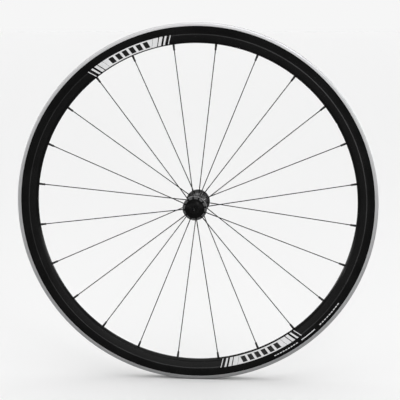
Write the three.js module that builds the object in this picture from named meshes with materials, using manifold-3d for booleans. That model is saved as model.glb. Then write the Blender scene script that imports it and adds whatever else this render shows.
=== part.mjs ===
// A road bicycle's front wheel without its tyre: a deep alloy rim, 24 radial spokes and a hub for a
// quick release skewer.
//
// Millimetres. The origin is the wheel's centre. +Y is the axle, +Z is up and +X is forward, so the
// right side of the wheel is at -Y and the left side at +Y.

import * as THREE from 'three';
import { mergeVertices } from 'three/addons/utils/BufferGeometryUtils.js';
import Module from 'manifold-3d';

const wasm = await Module();
wasm.setup();

// ---------------------------------------------------------------- driving dimensions

// Rim
const BEAD_SEAT_DIAMETER = 622; // the tyre size, ISO 622
const HOOK_HEIGHT = 6; // from the bead seat out to the rim's edge
const RIM_DEPTH = 35.3; // from the rim's edge in to its nose
const RIM_WIDTH = 20.5;
const TRACK_HEIGHT = 6.6; // the bare metal band
const CREASE_HEIGHT = 15.2; // from the nose out to the crease in the wall
const CREASE_INSET = 1.55; // each wall is this much narrower at the crease than at the track
const NOSE_ROUNDING = 7.5;
const NOSE_SWEEP = 62; // degrees of the rounding, each side of the middle
const NOSE_THICKNESS = 2.8; // where the nipples seat
const FLOOR_WIDTH = 8.6; // of the flat inside the nose
const WALL = 1.1;
const SIDE_WALL = 1.75; // behind the brake track
const HOOK_WIDTH = 2.75; // from the rim's side in to the hook's tip
const HOOK_LIP = 0.8; // the hook stands this far in from the wall
const HOOK_LIP_HEIGHT = 2;
const BEAD_SHELF = 2.2; // width of each bead seat
const WELL_DEPTH = 3.6; // from the bead seat in to the well
const WELL_SLOPE = 0.9;
const ACCESS_MARGIN = 1.2; // round a nipple's head that goes through an access hole
const VALVE_HOLE_DIAMETER = 6.5;
const VALVE_ANGLE = 52.5; // from the first spoke, half way between two spokes

// Rim tape
const TAPE_THICKNESS = 0.6;
const TAPE_CLEARANCE = 0.1;

// Spokes and nipples
const SPOKE_COUNT = 24;
const FIRST_SPOKE_ANGLE = 6.95; // from straight up, towards +X
const SPOKE_END_DIAMETER = 1.8;
const SPOKE_MIDDLE_DIAMETER = 1.6;
const SPOKE_BUTT_LENGTH = 12;
const SPOKE_TAPER_LENGTH = 8;
const ELBOW_SWELL = 0.2; // the elbow is this much thicker than the spoke's end
const ELBOW_RADIUS = 1.6;
const SPOKE_HEAD_LIP = 0.8; // the head stands this far past the elbow all round
const SPOKE_HEAD_THICKNESS = 1.1;
const SPOKE_IN_NIPPLE = 12; // how far the spoke reaches into the nipple
const NIPPLE_LENGTH = 16;
const NIPPLE_DIAMETER = 4;
const NIPPLE_HEAD_LIP = 0.8; // the head stands this far past the body all round
const NIPPLE_HEAD_HEIGHT = 2.4;
const NIPPLE_SEAT_GAP = 0.6;

// Hub
const OVER_LOCKNUT = 100; // the fork's inside width
const FLANGE_TO_FORK = 13.4; // from a flange's inner face to the fork
const FLANGE_THICKNESS = 2.6;
const FLANGE_EDGE = 2.9; // from the middle of a spoke hole to the flange's edge
const SPOKE_HOLE_MARGIN = 1.9; // from the housing to the middle of a spoke hole
const BARREL_DIAMETER = 24.6;
const BARREL_WALL = 2.2;
const BARREL_FLARE_LENGTH = 9;
const HOUSING_WALL = 2.2;
const RECESS_WALL = 1;
const RECESS_DEPTH = 2.2; // of the recess that the cap's shield turns in

// Bearings
const BEARING_OUTER_DIAMETER = 28;
const BEARING_BORE = 12;
const BEARING_WIDTH = 8;
const BALL_DIAMETER = 4.76;
const BALL_COUNT = 8;
const SHOULDER_SHARE = 0.9; // how far up a ball's side each ring's shoulder stands
const GROOVE_SHARE = 0.6; // half the groove's width, as a share of the ball's radius
const RACE_GAP = 0.25;
const CAGE_THICKNESS = 0.8;
const CAGE_HEIGHT = 1.4;

// Axle and end caps
const AXLE_SHOULDER_DIAMETER = 15;
const AXLE_BORE = 6;
const SPIGOT_DIAMETER = 9.6; // the axle's ends, inside the caps
const SPIGOT_LENGTH = 4;
const CAP_DIAMETER = 17;
const CAP_HEIGHT = 7.1; // from the shield's inner face to the fork
const SHIELD_OVERHANG = 1; // the shield covers the bearing by this much
const SHIELD_THICKNESS = 1.3;
const SHIELD_CONE_HEIGHT = 2.2;
const STUB_DIAMETER = 9; // sits in the fork's dropout
const STUB_LENGTH = 4.5;
const CAP_BORE = 5.4;
const CAP_CHAMFER = 0.6;

// Clearances
const FIT = 0.05; // between faces that seat on each other
const LOOSE = 0.3; // round anything that is turned or tilted to its neighbour
const SHIELD_GAP = 0.6;

// Fineness
const RIM_SEGMENTS = 48;
const HUB_SEGMENTS = 20; // shared by all that seats on another round piece
const SPOKE_SIDES = 6;
const NIPPLE_SIDES = 8;
const HOLE_SIDES = 6;
const ELBOW_STEPS = 3;
const BALL_SIDES = 6;
const BALL_RINGS = 4;
const NOSE_STEPS = 3;
const CUT_MARGIN = 2; // how far a cutter runs past what it cuts

// ---------------------------------------------------------------- sizes that follow

const beadSeat = BEAD_SEAT_DIAMETER / 2;
const rimEdge = beadSeat + HOOK_HEIGHT;
const nose = rimEdge - RIM_DEPTH;
const trackFoot = rimEdge - TRACK_HEIGHT;
const halfWidth = RIM_WIDTH / 2;
const well = beadSeat - WELL_DEPTH;
const creaseHalf = halfWidth - CREASE_INSET;
const channelHalf = halfWidth - HOOK_WIDTH;
const shelfInner = channelHalf + HOOK_LIP - BEAD_SHELF;
const wellHalf = shelfInner - WELL_SLOPE;

const spokeEnd = SPOKE_END_DIAMETER / 2;
const elbowRadius = spokeEnd + ELBOW_SWELL / 2;
const spokeHead = elbowRadius + SPOKE_HEAD_LIP;
const nippleBody = NIPPLE_DIAMETER / 2;
const nippleHead = nippleBody + NIPPLE_HEAD_LIP;
const accessHole = nippleHead + ACCESS_MARGIN;
const valveHole = VALVE_HOLE_DIAMETER / 2;

const capFace = OVER_LOCKNUT / 2;
const flangeInner = capFace - FLANGE_TO_FORK;
const flangeOuter = flangeInner + FLANGE_THICKNESS;
const bearingRadius = BEARING_OUTER_DIAMETER / 2;
const boreRadius = BEARING_BORE / 2;
const ballCircle = (bearingRadius + boreRadius) / 2;
const ballRadius = BALL_DIAMETER / 2;
const shoulderReach = ballRadius * SHOULDER_SHARE + RACE_GAP;
const grooveReach = ballRadius + RACE_GAP;
const grooveHalf = ballRadius * GROOVE_SHARE;
const flatFactor = Math.cos(Math.PI / HUB_SEGMENTS); // a flat's distance as a share of a corner's
const shieldRadius = bearingRadius + SHIELD_OVERHANG;
const recessRadius = shieldRadius + SHIELD_GAP;
const housingRadius = bearingRadius + HOUSING_WALL;
const recessRim = recessRadius + RECESS_WALL;
const spokeCircle = recessRim + SPOKE_HOLE_MARGIN;
const flangeRadius = spokeCircle + FLANGE_EDGE;

// Along the axle, from the fork inwards: cap, shield, bearing, housing shoulder.
const shieldInner = capFace - CAP_HEIGHT;
const bearingOuterFace = shieldInner - SHIELD_GAP;
const bearingInnerFace = bearingOuterFace - BEARING_WIDTH;
const housingEnd = bearingOuterFace + RECESS_DEPTH;
const spigotEnd = bearingOuterFace + SPIGOT_LENGTH;

// ---------------------------------------------------------------- finishes

/**
 * One finish as a standard material.
 * @param {number} color hexadecimal colour
 * @param {number} roughness 0 is a mirror, 1 is chalk
 * @param {number} metalness 0 or 1
 */
function finish(color, roughness, metalness) {
  return new THREE.MeshStandardMaterial({ color, roughness, metalness });
}

const finishes = {
  rim: () => finish(0x17181a, 0.35, 0.2),
  tape: () => finish(0x2c2c2f, 0.6, 0),
  spoke: () => finish(0x1c1c1e, 0.3, 0.8),
  nipple: () => finish(0x121214, 0.35, 0.7),
  hub: () => finish(0x1b1b1d, 0.3, 0.8),
  cap: () => finish(0x101012, 0.35, 0.7),
  axle: () => finish(0xa8a8a8, 0.35, 1),
  bearing: () => finish(0xc8c8c8, 0.2, 1),
};

// ---------------------------------------------------------------- solids

/** A closed geometry as a manifold solid. */
function toSolid(geometry) {
  const bare = geometry.clone();
  bare.deleteAttribute('normal');
  bare.deleteAttribute('uv');
  const merged = mergeVertices(bare);
  const corners = [];
  const index = merged.index.array;
  for (let i = 0; i < index.length; i += 3) {
    const [a, b, c] = index.slice(i, i + 3);
    if (a !== b && b !== c && c !== a) corners.push(a, b, c);
  }
  return new wasm.Manifold(
    new wasm.Mesh({
      numProp: 3,
      vertProperties: new Float32Array(merged.attributes.position.array),
      triVerts: new Uint32Array(corners),
    }),
  );
}

/** A manifold solid as a geometry. */
function toGeometry(solid) {
  const { vertProperties, triVerts } = solid.getMesh();
  const geometry = new THREE.BufferGeometry();
  geometry.setAttribute('position', new THREE.BufferAttribute(vertProperties, 3));
  geometry.setIndex(new THREE.BufferAttribute(triVerts, 1));
  geometry.computeVertexNormals();
  return geometry;
}

/** Joins the solids after the first to it. */
function join(first, ...others) {
  return others.reduce((whole, part) => whole.add(part), first);
}

/** Cuts the solids after the first from it. */
function cut(first, ...others) {
  return others.reduce((whole, part) => whole.subtract(part), first);
}

/**
 * A ring or a round bar about the Y axis.
 * @param {number[][]} profile [radius, y] points, the outside running towards +Y
 * @param {number} segments sides of the round
 */
function turned(profile, segments) {
  const points = profile.map(([radius, y]) => new THREE.Vector2(radius, y));
  points.push(points[0].clone());
  return new THREE.LatheGeometry(points, segments);
}

/** The same profile, turned over to the other side of the wheel's middle plane. */
function mirrored(profile) {
  return profile.map(([radius, y]) => [radius, -y]).reverse();
}

/** A round bar along local +X, from x = start to x = end, in the plane of a spoke. */
function barAlongX(radius, start, end, sides) {
  return new THREE.CylinderGeometry(radius, radius, end - start, sides)
    .rotateZ(-Math.PI / 2)
    .translate((start + end) / 2, 0, 0);
}

/** A mesh with its name and finish. */
function piece(name, geometry, material) {
  const mesh = new THREE.Mesh(geometry, material);
  mesh.name = name;
  return mesh;
}

// ---------------------------------------------------------------- spoke lines

/** The angle of a spoke about the axle. Even spokes go to the left flange and odd ones to the right. */
function spokeAngle(i) {
  return THREE.MathUtils.degToRad(FIRST_SPOKE_ANGLE + (360 / SPOKE_COUNT) * i);
}

// A spoke leaves its elbow just inside the flange and runs straight to the middle of the rim.
const elbowCentreY = flangeInner - LOOSE;
const spokeTilt = Math.atan2(elbowCentreY - ELBOW_RADIUS, nose - spokeCircle - ELBOW_RADIUS);
const elbowEnd = new THREE.Vector2(
  spokeCircle + ELBOW_RADIUS * (1 - Math.sin(spokeTilt)),
  elbowCentreY - ELBOW_RADIUS * Math.cos(spokeTilt),
);
const spokeDirection = new THREE.Vector2(Math.cos(spokeTilt), -Math.sin(spokeTilt));
const seatDistance = (nose + NOSE_THICKNESS + NIPPLE_SEAT_GAP - elbowEnd.x) / spokeDirection.x;
const nippleTop = seatDistance + NIPPLE_HEAD_HEIGHT;
const nippleFoot = nippleTop - NIPPLE_LENGTH;
const spokeTop = nippleFoot + SPOKE_IN_NIPPLE;

/** Moves a geometry made along local +X, from the elbow's end, on to the left spoke's line. */
function onSpokeLine(geometry) {
  return geometry.rotateZ(-spokeTilt).translate(elbowEnd.x, elbowEnd.y, 0);
}

/**
 * The turn that takes the plane of a left spoke, radial along +X, to where a spoke is.
 * @param {number} i the spoke's number
 */
function spokePlace(i) {
  const about = new THREE.Matrix4().makeRotationY(spokeAngle(i) - Math.PI / 2);
  const side = new THREE.Matrix4().makeRotationX(i % 2 === 0 ? 0 : Math.PI);
  return about.multiply(side);
}

// ---------------------------------------------------------------- rim

/** Half of the rim's outside, from the nose over the edge to the middle of the well. */
function rimHalfOutline() {
  const outline = [[nose, 0]];
  const sweep = THREE.MathUtils.degToRad(NOSE_SWEEP);
  for (let k = 1; k <= NOSE_STEPS; k += 1) {
    const angle = (sweep * k) / NOSE_STEPS;
    outline.push([
      nose + NOSE_ROUNDING * (1 - Math.cos(angle)),
      NOSE_ROUNDING * Math.sin(angle),
    ]);
  }
  outline.push(
    [nose + CREASE_HEIGHT, creaseHalf],
    [trackFoot, halfWidth],
    [rimEdge, halfWidth],
    [rimEdge, channelHalf],
    [rimEdge - HOOK_LIP_HEIGHT, channelHalf],
    [rimEdge - HOOK_LIP_HEIGHT - HOOK_LIP, channelHalf + HOOK_LIP],
    [beadSeat, channelHalf + HOOK_LIP],
    [beadSeat, shelfInner],
    [well, wellHalf],
    [well, 0],
  );
  return outline;
}

/** Half of the hollow inside the rim, from its floor over the nose to the middle of the well. */
function rimHalfHollow() {
  const floor = nose + NOSE_THICKNESS;
  const ceiling = beadSeat - WALL;
  return [
    [floor, 0],
    [floor, FLOOR_WIDTH / 2],
    [nose + CREASE_HEIGHT, creaseHalf - WALL],
    [ceiling, halfWidth - SIDE_WALL],
    [ceiling, shelfInner + WALL / 2],
    [well - WALL, wellHalf],
    [well - WALL, 0],
  ];
}

/** A ring from half of a profile that is the same on both sides of the middle plane. */
function symmetricRing(half, segments) {
  const inner = half.slice(1, -1);
  const right = half.map(([radius, y]) => [radius, -y]);
  const left = inner.reverse();
  return turned([...right, ...left], segments);
}

/** Turns a geometry made along +X to the valve's place. */
function atValve(geometry) {
  const angle = spokeAngle(0) + THREE.MathUtils.degToRad(VALVE_ANGLE);
  return geometry.rotateY(angle - Math.PI / 2);
}

/** The rim, with its nipple holes along the spokes, its access holes and its valve hole. */
function makeRim() {
  const body = toSolid(symmetricRing(rimHalfOutline(), RIM_SEGMENTS));
  const hollow = toSolid(symmetricRing(rimHalfHollow(), RIM_SEGMENTS));
  const nippleHole = nippleBody + LOOSE;
  const holes = [atValve(barAlongX(valveHole, nose - CUT_MARGIN, beadSeat, HOLE_SIDES))];
  for (let i = 0; i < SPOKE_COUNT; i += 1) {
    const along = barAlongX(nippleHole, nippleFoot, seatDistance + CUT_MARGIN, NIPPLE_SIDES);
    const access = barAlongX(accessHole, well - WALL - CUT_MARGIN, beadSeat, HOLE_SIDES);
    holes.push(onSpokeLine(along).applyMatrix4(spokePlace(i)));
    holes.push(access.applyMatrix4(spokePlace(i)));
  }
  return toGeometry(cut(body, hollow, ...holes.map(toSolid)));
}

/** The tape in the well, over the access holes, with the valve's hole. */
function makeRimTape() {
  const inner = well + TAPE_CLEARANCE;
  const outer = inner + TAPE_THICKNESS;
  const half = wellHalf - TAPE_CLEARANCE;
  const ring = turned([[inner, half], [inner, -half], [outer, -half], [outer, half]], RIM_SEGMENTS);
  const hole = barAlongX(valveHole, inner - CUT_MARGIN, outer + CUT_MARGIN, HOLE_SIDES);
  return toGeometry(cut(toSolid(ring), toSolid(atValve(hole))));
}

// ---------------------------------------------------------------- spokes and nipples

/** The path of a spoke's elbow: out of the flange, round, and on along the spoke's line. */
class ElbowPath extends THREE.Curve {
  getPoint(t, target = new THREE.Vector3()) {
    const stem = flangeOuter + FIT - elbowCentreY;
    const turn = Math.PI / 2 - spokeTilt;
    const arc = ELBOW_RADIUS * turn;
    const distance = t * (stem + arc);
    if (distance <= stem) return target.set(spokeCircle, elbowCentreY + stem - distance, 0);
    const angle = (distance - stem) / ELBOW_RADIUS;
    return target.set(
      spokeCircle + ELBOW_RADIUS * (1 - Math.cos(angle)),
      elbowCentreY - ELBOW_RADIUS * Math.sin(angle),
      0,
    );
  }
}

/** A left spoke, in its own plane: head, elbow, butted shank and threaded end. */
function makeSpoke() {
  const middleRadius = SPOKE_MIDDLE_DIAMETER / 2;
  const section = new THREE.Shape();
  section.absarc(0, 0, elbowRadius, 0, Math.PI * 2);
  const elbow = new THREE.ExtrudeGeometry(section, {
    extrudePath: new ElbowPath(),
    steps: ELBOW_STEPS,
    curveSegments: SPOKE_SIDES / 2,
  });

  const butt = SPOKE_BUTT_LENGTH;
  const taper = butt + SPOKE_TAPER_LENGTH;
  const shank = turned(
    [
      [0, -elbowRadius / 2],
      [spokeEnd, -elbowRadius / 2],
      [spokeEnd, butt],
      [middleRadius, taper],
      [middleRadius, spokeTop - taper],
      [spokeEnd, spokeTop - butt],
      [spokeEnd, spokeTop],
      [0, spokeTop],
    ],
    SPOKE_SIDES,
  ).rotateZ(-Math.PI / 2);

  const headFoot = flangeOuter + FIT;
  const head = turned(
    [
      [0, headFoot],
      [spokeHead, headFoot],
      [elbowRadius, headFoot + SPOKE_HEAD_THICKNESS],
      [0, headFoot + SPOKE_HEAD_THICKNESS],
    ],
    SPOKE_SIDES,
  ).translate(spokeCircle, 0, 0);

  return toGeometry(join(toSolid(elbow), toSolid(onSpokeLine(shank)), toSolid(head)));
}

/** A left spoke's nipple, in the spoke's own plane, with its head inside the rim. */
function makeNipple() {
  const bore = spokeEnd + LOOSE;
  const nipple = turned(
    [
      [bore, nippleFoot],
      [nippleBody, nippleFoot],
      [nippleBody, seatDistance],
      [nippleHead, seatDistance],
      [nippleBody, nippleTop],
      [bore, nippleTop],
    ],
    NIPPLE_SIDES,
  ).rotateZ(-Math.PI / 2);
  return toGeometry(toSolid(onSpokeLine(nipple)));
}

/** A two digit number for a piece's name. */
function numbered(name, i) {
  return `${name}_${String(i + 1).padStart(2, '0')}`;
}

/** Every spoke with its nipple, turned to its place. */
function makeLacing() {
  const lacing = new THREE.Group();
  const spokeGeometry = makeSpoke();
  const nippleGeometry = makeNipple();
  for (let i = 0; i < SPOKE_COUNT; i += 1) {
    const place = new THREE.Group();
    place.add(
      piece(numbered('spoke', i), spokeGeometry, finishes.spoke()),
      piece(numbered('nipple', i), nippleGeometry, finishes.nipple()),
    );
    place.applyMatrix4(spokePlace(i));
    lacing.add(place);
  }
  return lacing;
}

// ---------------------------------------------------------------- hub

/** The hub shell: barrel, flanges with their spoke holes, and a housing for a bearing at each end. */
function makeHubShell() {
  const barrel = BARREL_DIAMETER / 2;
  const pocket = bearingRadius + FIT;
  const outside = [
    [barrel, 0],
    [barrel, flangeInner - BARREL_FLARE_LENGTH],
    [housingRadius, flangeInner - BARREL_FLARE_LENGTH / 3],
    [housingRadius, flangeInner],
    [flangeRadius, flangeInner],
    [flangeRadius, flangeOuter],
    [recessRim, flangeOuter],
    [recessRim, housingEnd],
  ];
  const inside = [
    [recessRadius, housingEnd],
    [recessRadius, bearingOuterFace + FIT],
    [pocket, bearingOuterFace + FIT],
    [pocket, bearingInnerFace - FIT],
    [barrel - BARREL_WALL, bearingInnerFace - FIT],
    [barrel - BARREL_WALL, 0],
  ];
  const left = [...outside, ...inside];
  const right = mirrored(left.slice(1, -1));
  const shell = toSolid(turned([...right, ...left], HUB_SEGMENTS));

  const spokeHole = elbowRadius + LOOSE;
  const holes = [];
  for (let i = 0; i < SPOKE_COUNT; i += 1) {
    const depth = FLANGE_THICKNESS + CUT_MARGIN;
    const hole = new THREE.CylinderGeometry(spokeHole, spokeHole, depth, SPOKE_SIDES);
    hole.translate(spokeCircle, (flangeInner + flangeOuter) / 2, 0);
    holes.push(hole.applyMatrix4(spokePlace(i)));
  }
  return toGeometry(cut(shell, ...holes.map(toSolid)));
}

/** The axle tube: a thick middle between the bearings, a seat for each, and a spigot for each cap. */
function makeAxle() {
  const shoulder = AXLE_SHOULDER_DIAMETER / 2;
  const seat = boreRadius - FIT;
  const spigot = SPIGOT_DIAMETER / 2;
  const bore = AXLE_BORE / 2;
  const left = [
    [shoulder, bearingInnerFace - FIT],
    [seat, bearingInnerFace - FIT],
    [seat, bearingOuterFace],
    [spigot, bearingOuterFace],
    [spigot, spigotEnd],
    [bore, spigotEnd],
  ];
  return turned([...mirrored(left), ...left], HUB_SEGMENTS);
}

/** The left end cap: shield, fork face, and the stub that sits in the dropout. */
function makeEndCap() {
  const cap = CAP_DIAMETER / 2;
  const stub = STUB_DIAMETER / 2;
  const bore = CAP_BORE / 2;
  const socket = SPIGOT_DIAMETER / 2 + FIT;
  const socketFloor = spigotEnd + FIT;
  const stubEnd = capFace + STUB_LENGTH;
  return turned(
    [
      [socket, bearingOuterFace + FIT],
      [cap, bearingOuterFace + FIT],
      [cap, shieldInner],
      [shieldRadius, shieldInner],
      [shieldRadius, shieldInner + SHIELD_THICKNESS],
      [cap, shieldInner + SHIELD_THICKNESS + SHIELD_CONE_HEIGHT],
      [cap, capFace - CAP_CHAMFER],
      [cap - CAP_CHAMFER, capFace],
      [stub, capFace],
      [stub, stubEnd - CAP_CHAMFER],
      [stub - CAP_CHAMFER, stubEnd],
      [bore, stubEnd],
      [bore, socketFloor],
      [socket, socketFloor],
    ],
    HUB_SEGMENTS,
  );
}

// ---------------------------------------------------------------- bearings

/** A bearing's outer ring, centred on y = 0. */
function makeOuterRing() {
  const half = BEARING_WIDTH / 2;
  const shoulder = (ballCircle + shoulderReach) / flatFactor;
  const groove = (ballCircle + grooveReach) / flatFactor;
  return turned(
    [
      [bearingRadius, -half],
      [bearingRadius, half],
      [shoulder, half],
      [shoulder, grooveHalf],
      [groove, 0],
      [shoulder, -grooveHalf],
      [shoulder, -half],
    ],
    HUB_SEGMENTS,
  );
}

/** A bearing's inner ring, centred on y = 0. */
function makeInnerRing() {
  const half = BEARING_WIDTH / 2;
  const shoulder = ballCircle - shoulderReach;
  const groove = ballCircle - grooveReach;
  return turned(
    [
      [boreRadius, half],
      [boreRadius, -half],
      [shoulder, -half],
      [shoulder, -grooveHalf],
      [groove, 0],
      [shoulder, grooveHalf],
      [shoulder, half],
    ],
    HUB_SEGMENTS,
  );
}

/** The balls with the cage that spaces them, centred on y = 0. */
function makeBallCage() {
  const low = ballCircle - CAGE_THICKNESS / 2;
  const high = ballCircle + CAGE_THICKNESS / 2;
  const half = CAGE_HEIGHT / 2;
  const cage = turned([[low, half], [low, -half], [high, -half], [high, half]], HUB_SEGMENTS);
  const balls = [];
  for (let i = 0; i < BALL_COUNT; i += 1) {
    const ball = new THREE.SphereGeometry(ballRadius, BALL_SIDES, BALL_RINGS)
      .translate(ballCircle, 0, 0);
    balls.push(toSolid(ball.rotateY((Math.PI * 2 * i) / BALL_COUNT)));
  }
  return toGeometry(join(toSolid(cage), ...balls));
}

/** One end of the hub: its bearing and its end cap. */
function makeHubEnd(side) {
  const end = new THREE.Group();
  const bearing = new THREE.Group();
  bearing.add(
    piece(`bearing_outer_ring_${side}`, makeOuterRing(), finishes.bearing()),
    piece(`bearing_inner_ring_${side}`, makeInnerRing(), finishes.bearing()),
    piece(`bearing_balls_${side}`, makeBallCage(), finishes.bearing()),
  );
  bearing.position.y = (bearingInnerFace + bearingOuterFace) / 2;
  end.add(bearing, piece(`end_cap_${side}`, makeEndCap(), finishes.cap()));
  return end;
}

// ---------------------------------------------------------------- assembly

const wheel = new THREE.Group();
wheel.add(
  piece('rim', makeRim(), finishes.rim()),
  piece('rim_tape', makeRimTape(), finishes.tape()),
  makeLacing(),
  piece('hub_shell', makeHubShell(), finishes.hub()),
  piece('axle', makeAxle(), finishes.axle()),
);

const leftEnd = makeHubEnd('left');
const rightEnd = makeHubEnd('right');
rightEnd.rotation.x = Math.PI;
wheel.add(leftEnd, rightEnd);

export default wheel;
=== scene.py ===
"""Looks of a road bicycle's front wheel: deep black rim, 24 radial spokes, quick release hub."""

import logging
import math
from collections.abc import Callable, Sequence
from dataclasses import dataclass, field
from enum import Enum
from functools import cached_property
from typing import ClassVar

import bpy
import numpy as np
from mathutils import Matrix, Vector


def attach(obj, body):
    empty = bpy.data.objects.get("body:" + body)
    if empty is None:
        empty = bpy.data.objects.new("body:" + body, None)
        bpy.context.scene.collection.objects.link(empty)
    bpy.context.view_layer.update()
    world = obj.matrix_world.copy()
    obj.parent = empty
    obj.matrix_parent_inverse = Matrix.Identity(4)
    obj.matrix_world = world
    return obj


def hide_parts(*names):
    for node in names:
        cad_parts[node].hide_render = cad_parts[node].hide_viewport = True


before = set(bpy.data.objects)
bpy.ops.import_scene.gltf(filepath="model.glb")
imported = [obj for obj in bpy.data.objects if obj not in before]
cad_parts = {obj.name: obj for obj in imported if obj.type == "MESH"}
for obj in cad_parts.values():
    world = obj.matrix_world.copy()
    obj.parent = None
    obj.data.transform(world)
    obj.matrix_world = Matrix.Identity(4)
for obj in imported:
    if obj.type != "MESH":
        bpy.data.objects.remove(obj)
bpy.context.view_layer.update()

log = logging.getLogger("wheel")

MM = 0.001
TAU = 2 * math.pi

FLANGE_OUTER = 39.2  # the outer face of each hub flange, from the middle of the wheel
EASE_SHARE = 0.48  # the most of an edge that the rounding of its corner may take

Corner = tuple[float, float, float]
Point2 = tuple[float, float]
Point3 = tuple[float, float, float]


# ---------------------------------------------------------------- names for choices


class Side(Enum):
    """A side of the wheel, with its sign along the axle."""

    LEFT = 1
    RIGHT = -1

    @property
    def word(self) -> str:
        """The side's name as it stands in a piece's name."""
        return self.name.lower()


class Body(Enum):
    """The bodies that pieces ride on."""

    WHEEL = "wheel"
    AXLE = "axle_set"
    BALLS = "balls"


class Slot(Enum):
    """The record's material slots."""

    RIM = "rim_black"
    TRACK = "brake_track"
    DECAL = "decal_silver"
    TAPE = "tape"
    SPOKE = "spoke_black"
    NIPPLE = "nipple_black"
    HUB = "hub_black"
    CAP = "cap_black"
    AXLE = "axle_metal"
    BEARING = "bearing_steel"
    BALL = "ball_steel"


class Texture(Enum):
    """What the surface of a finish is made of."""

    SATIN = "satin"
    TURNED = "turned"
    DRAWN = "drawn"
    WOVEN = "woven"


# ---------------------------------------------------------------- meshes


def eased(corners: Sequence[Corner], steps: int = 4) -> list[Point2]:
    """Rounds the corners of a closed profile.

    Args:
        corners: radius, y and rounding of each corner, in millimetres.
        steps: edges in each rounded corner.

    Returns:
        The profile's radius and y points.
    """
    points: list[Point2] = []
    count = len(corners)
    for i, (radius, y, ease) in enumerate(corners):
        here = np.array([radius, y])
        if ease <= 0:
            points.append((radius, y))
            continue
        ends = []
        for other in (corners[i - 1], corners[(i + 1) % count]):
            along = np.array(other[:2]) - here
            reach = min(ease, EASE_SHARE * float(np.linalg.norm(along)))
            ends.append(here + along / np.linalg.norm(along) * reach)
        for k in range(steps + 1):
            t = k / steps
            p = (1 - t) ** 2 * ends[0] + 2 * t * (1 - t) * here + t * t * ends[1]
            points.append((float(p[0]), float(p[1])))
    return points


def both_sides(half: Sequence[Corner]) -> list[Corner]:
    """A profile's left half and its mirror image, as one closed profile."""
    right = [(radius, -y, ease) for radius, y, ease in reversed(half) if y > 0]
    return [*right, *half]


def banded(first: int, second: int, count: int) -> list[tuple[int, ...]]:
    """Faces that join two rings of points.

    Args:
        first: number of the first ring's first point.
        second: number of the second ring's first point.
        count: points in each ring.

    Returns:
        A face of four corners for each point of a ring.
    """
    return [
        (first + k, second + k, second + (k + 1) % count, first + (k + 1) % count)
        for k in range(count)
    ]


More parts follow.
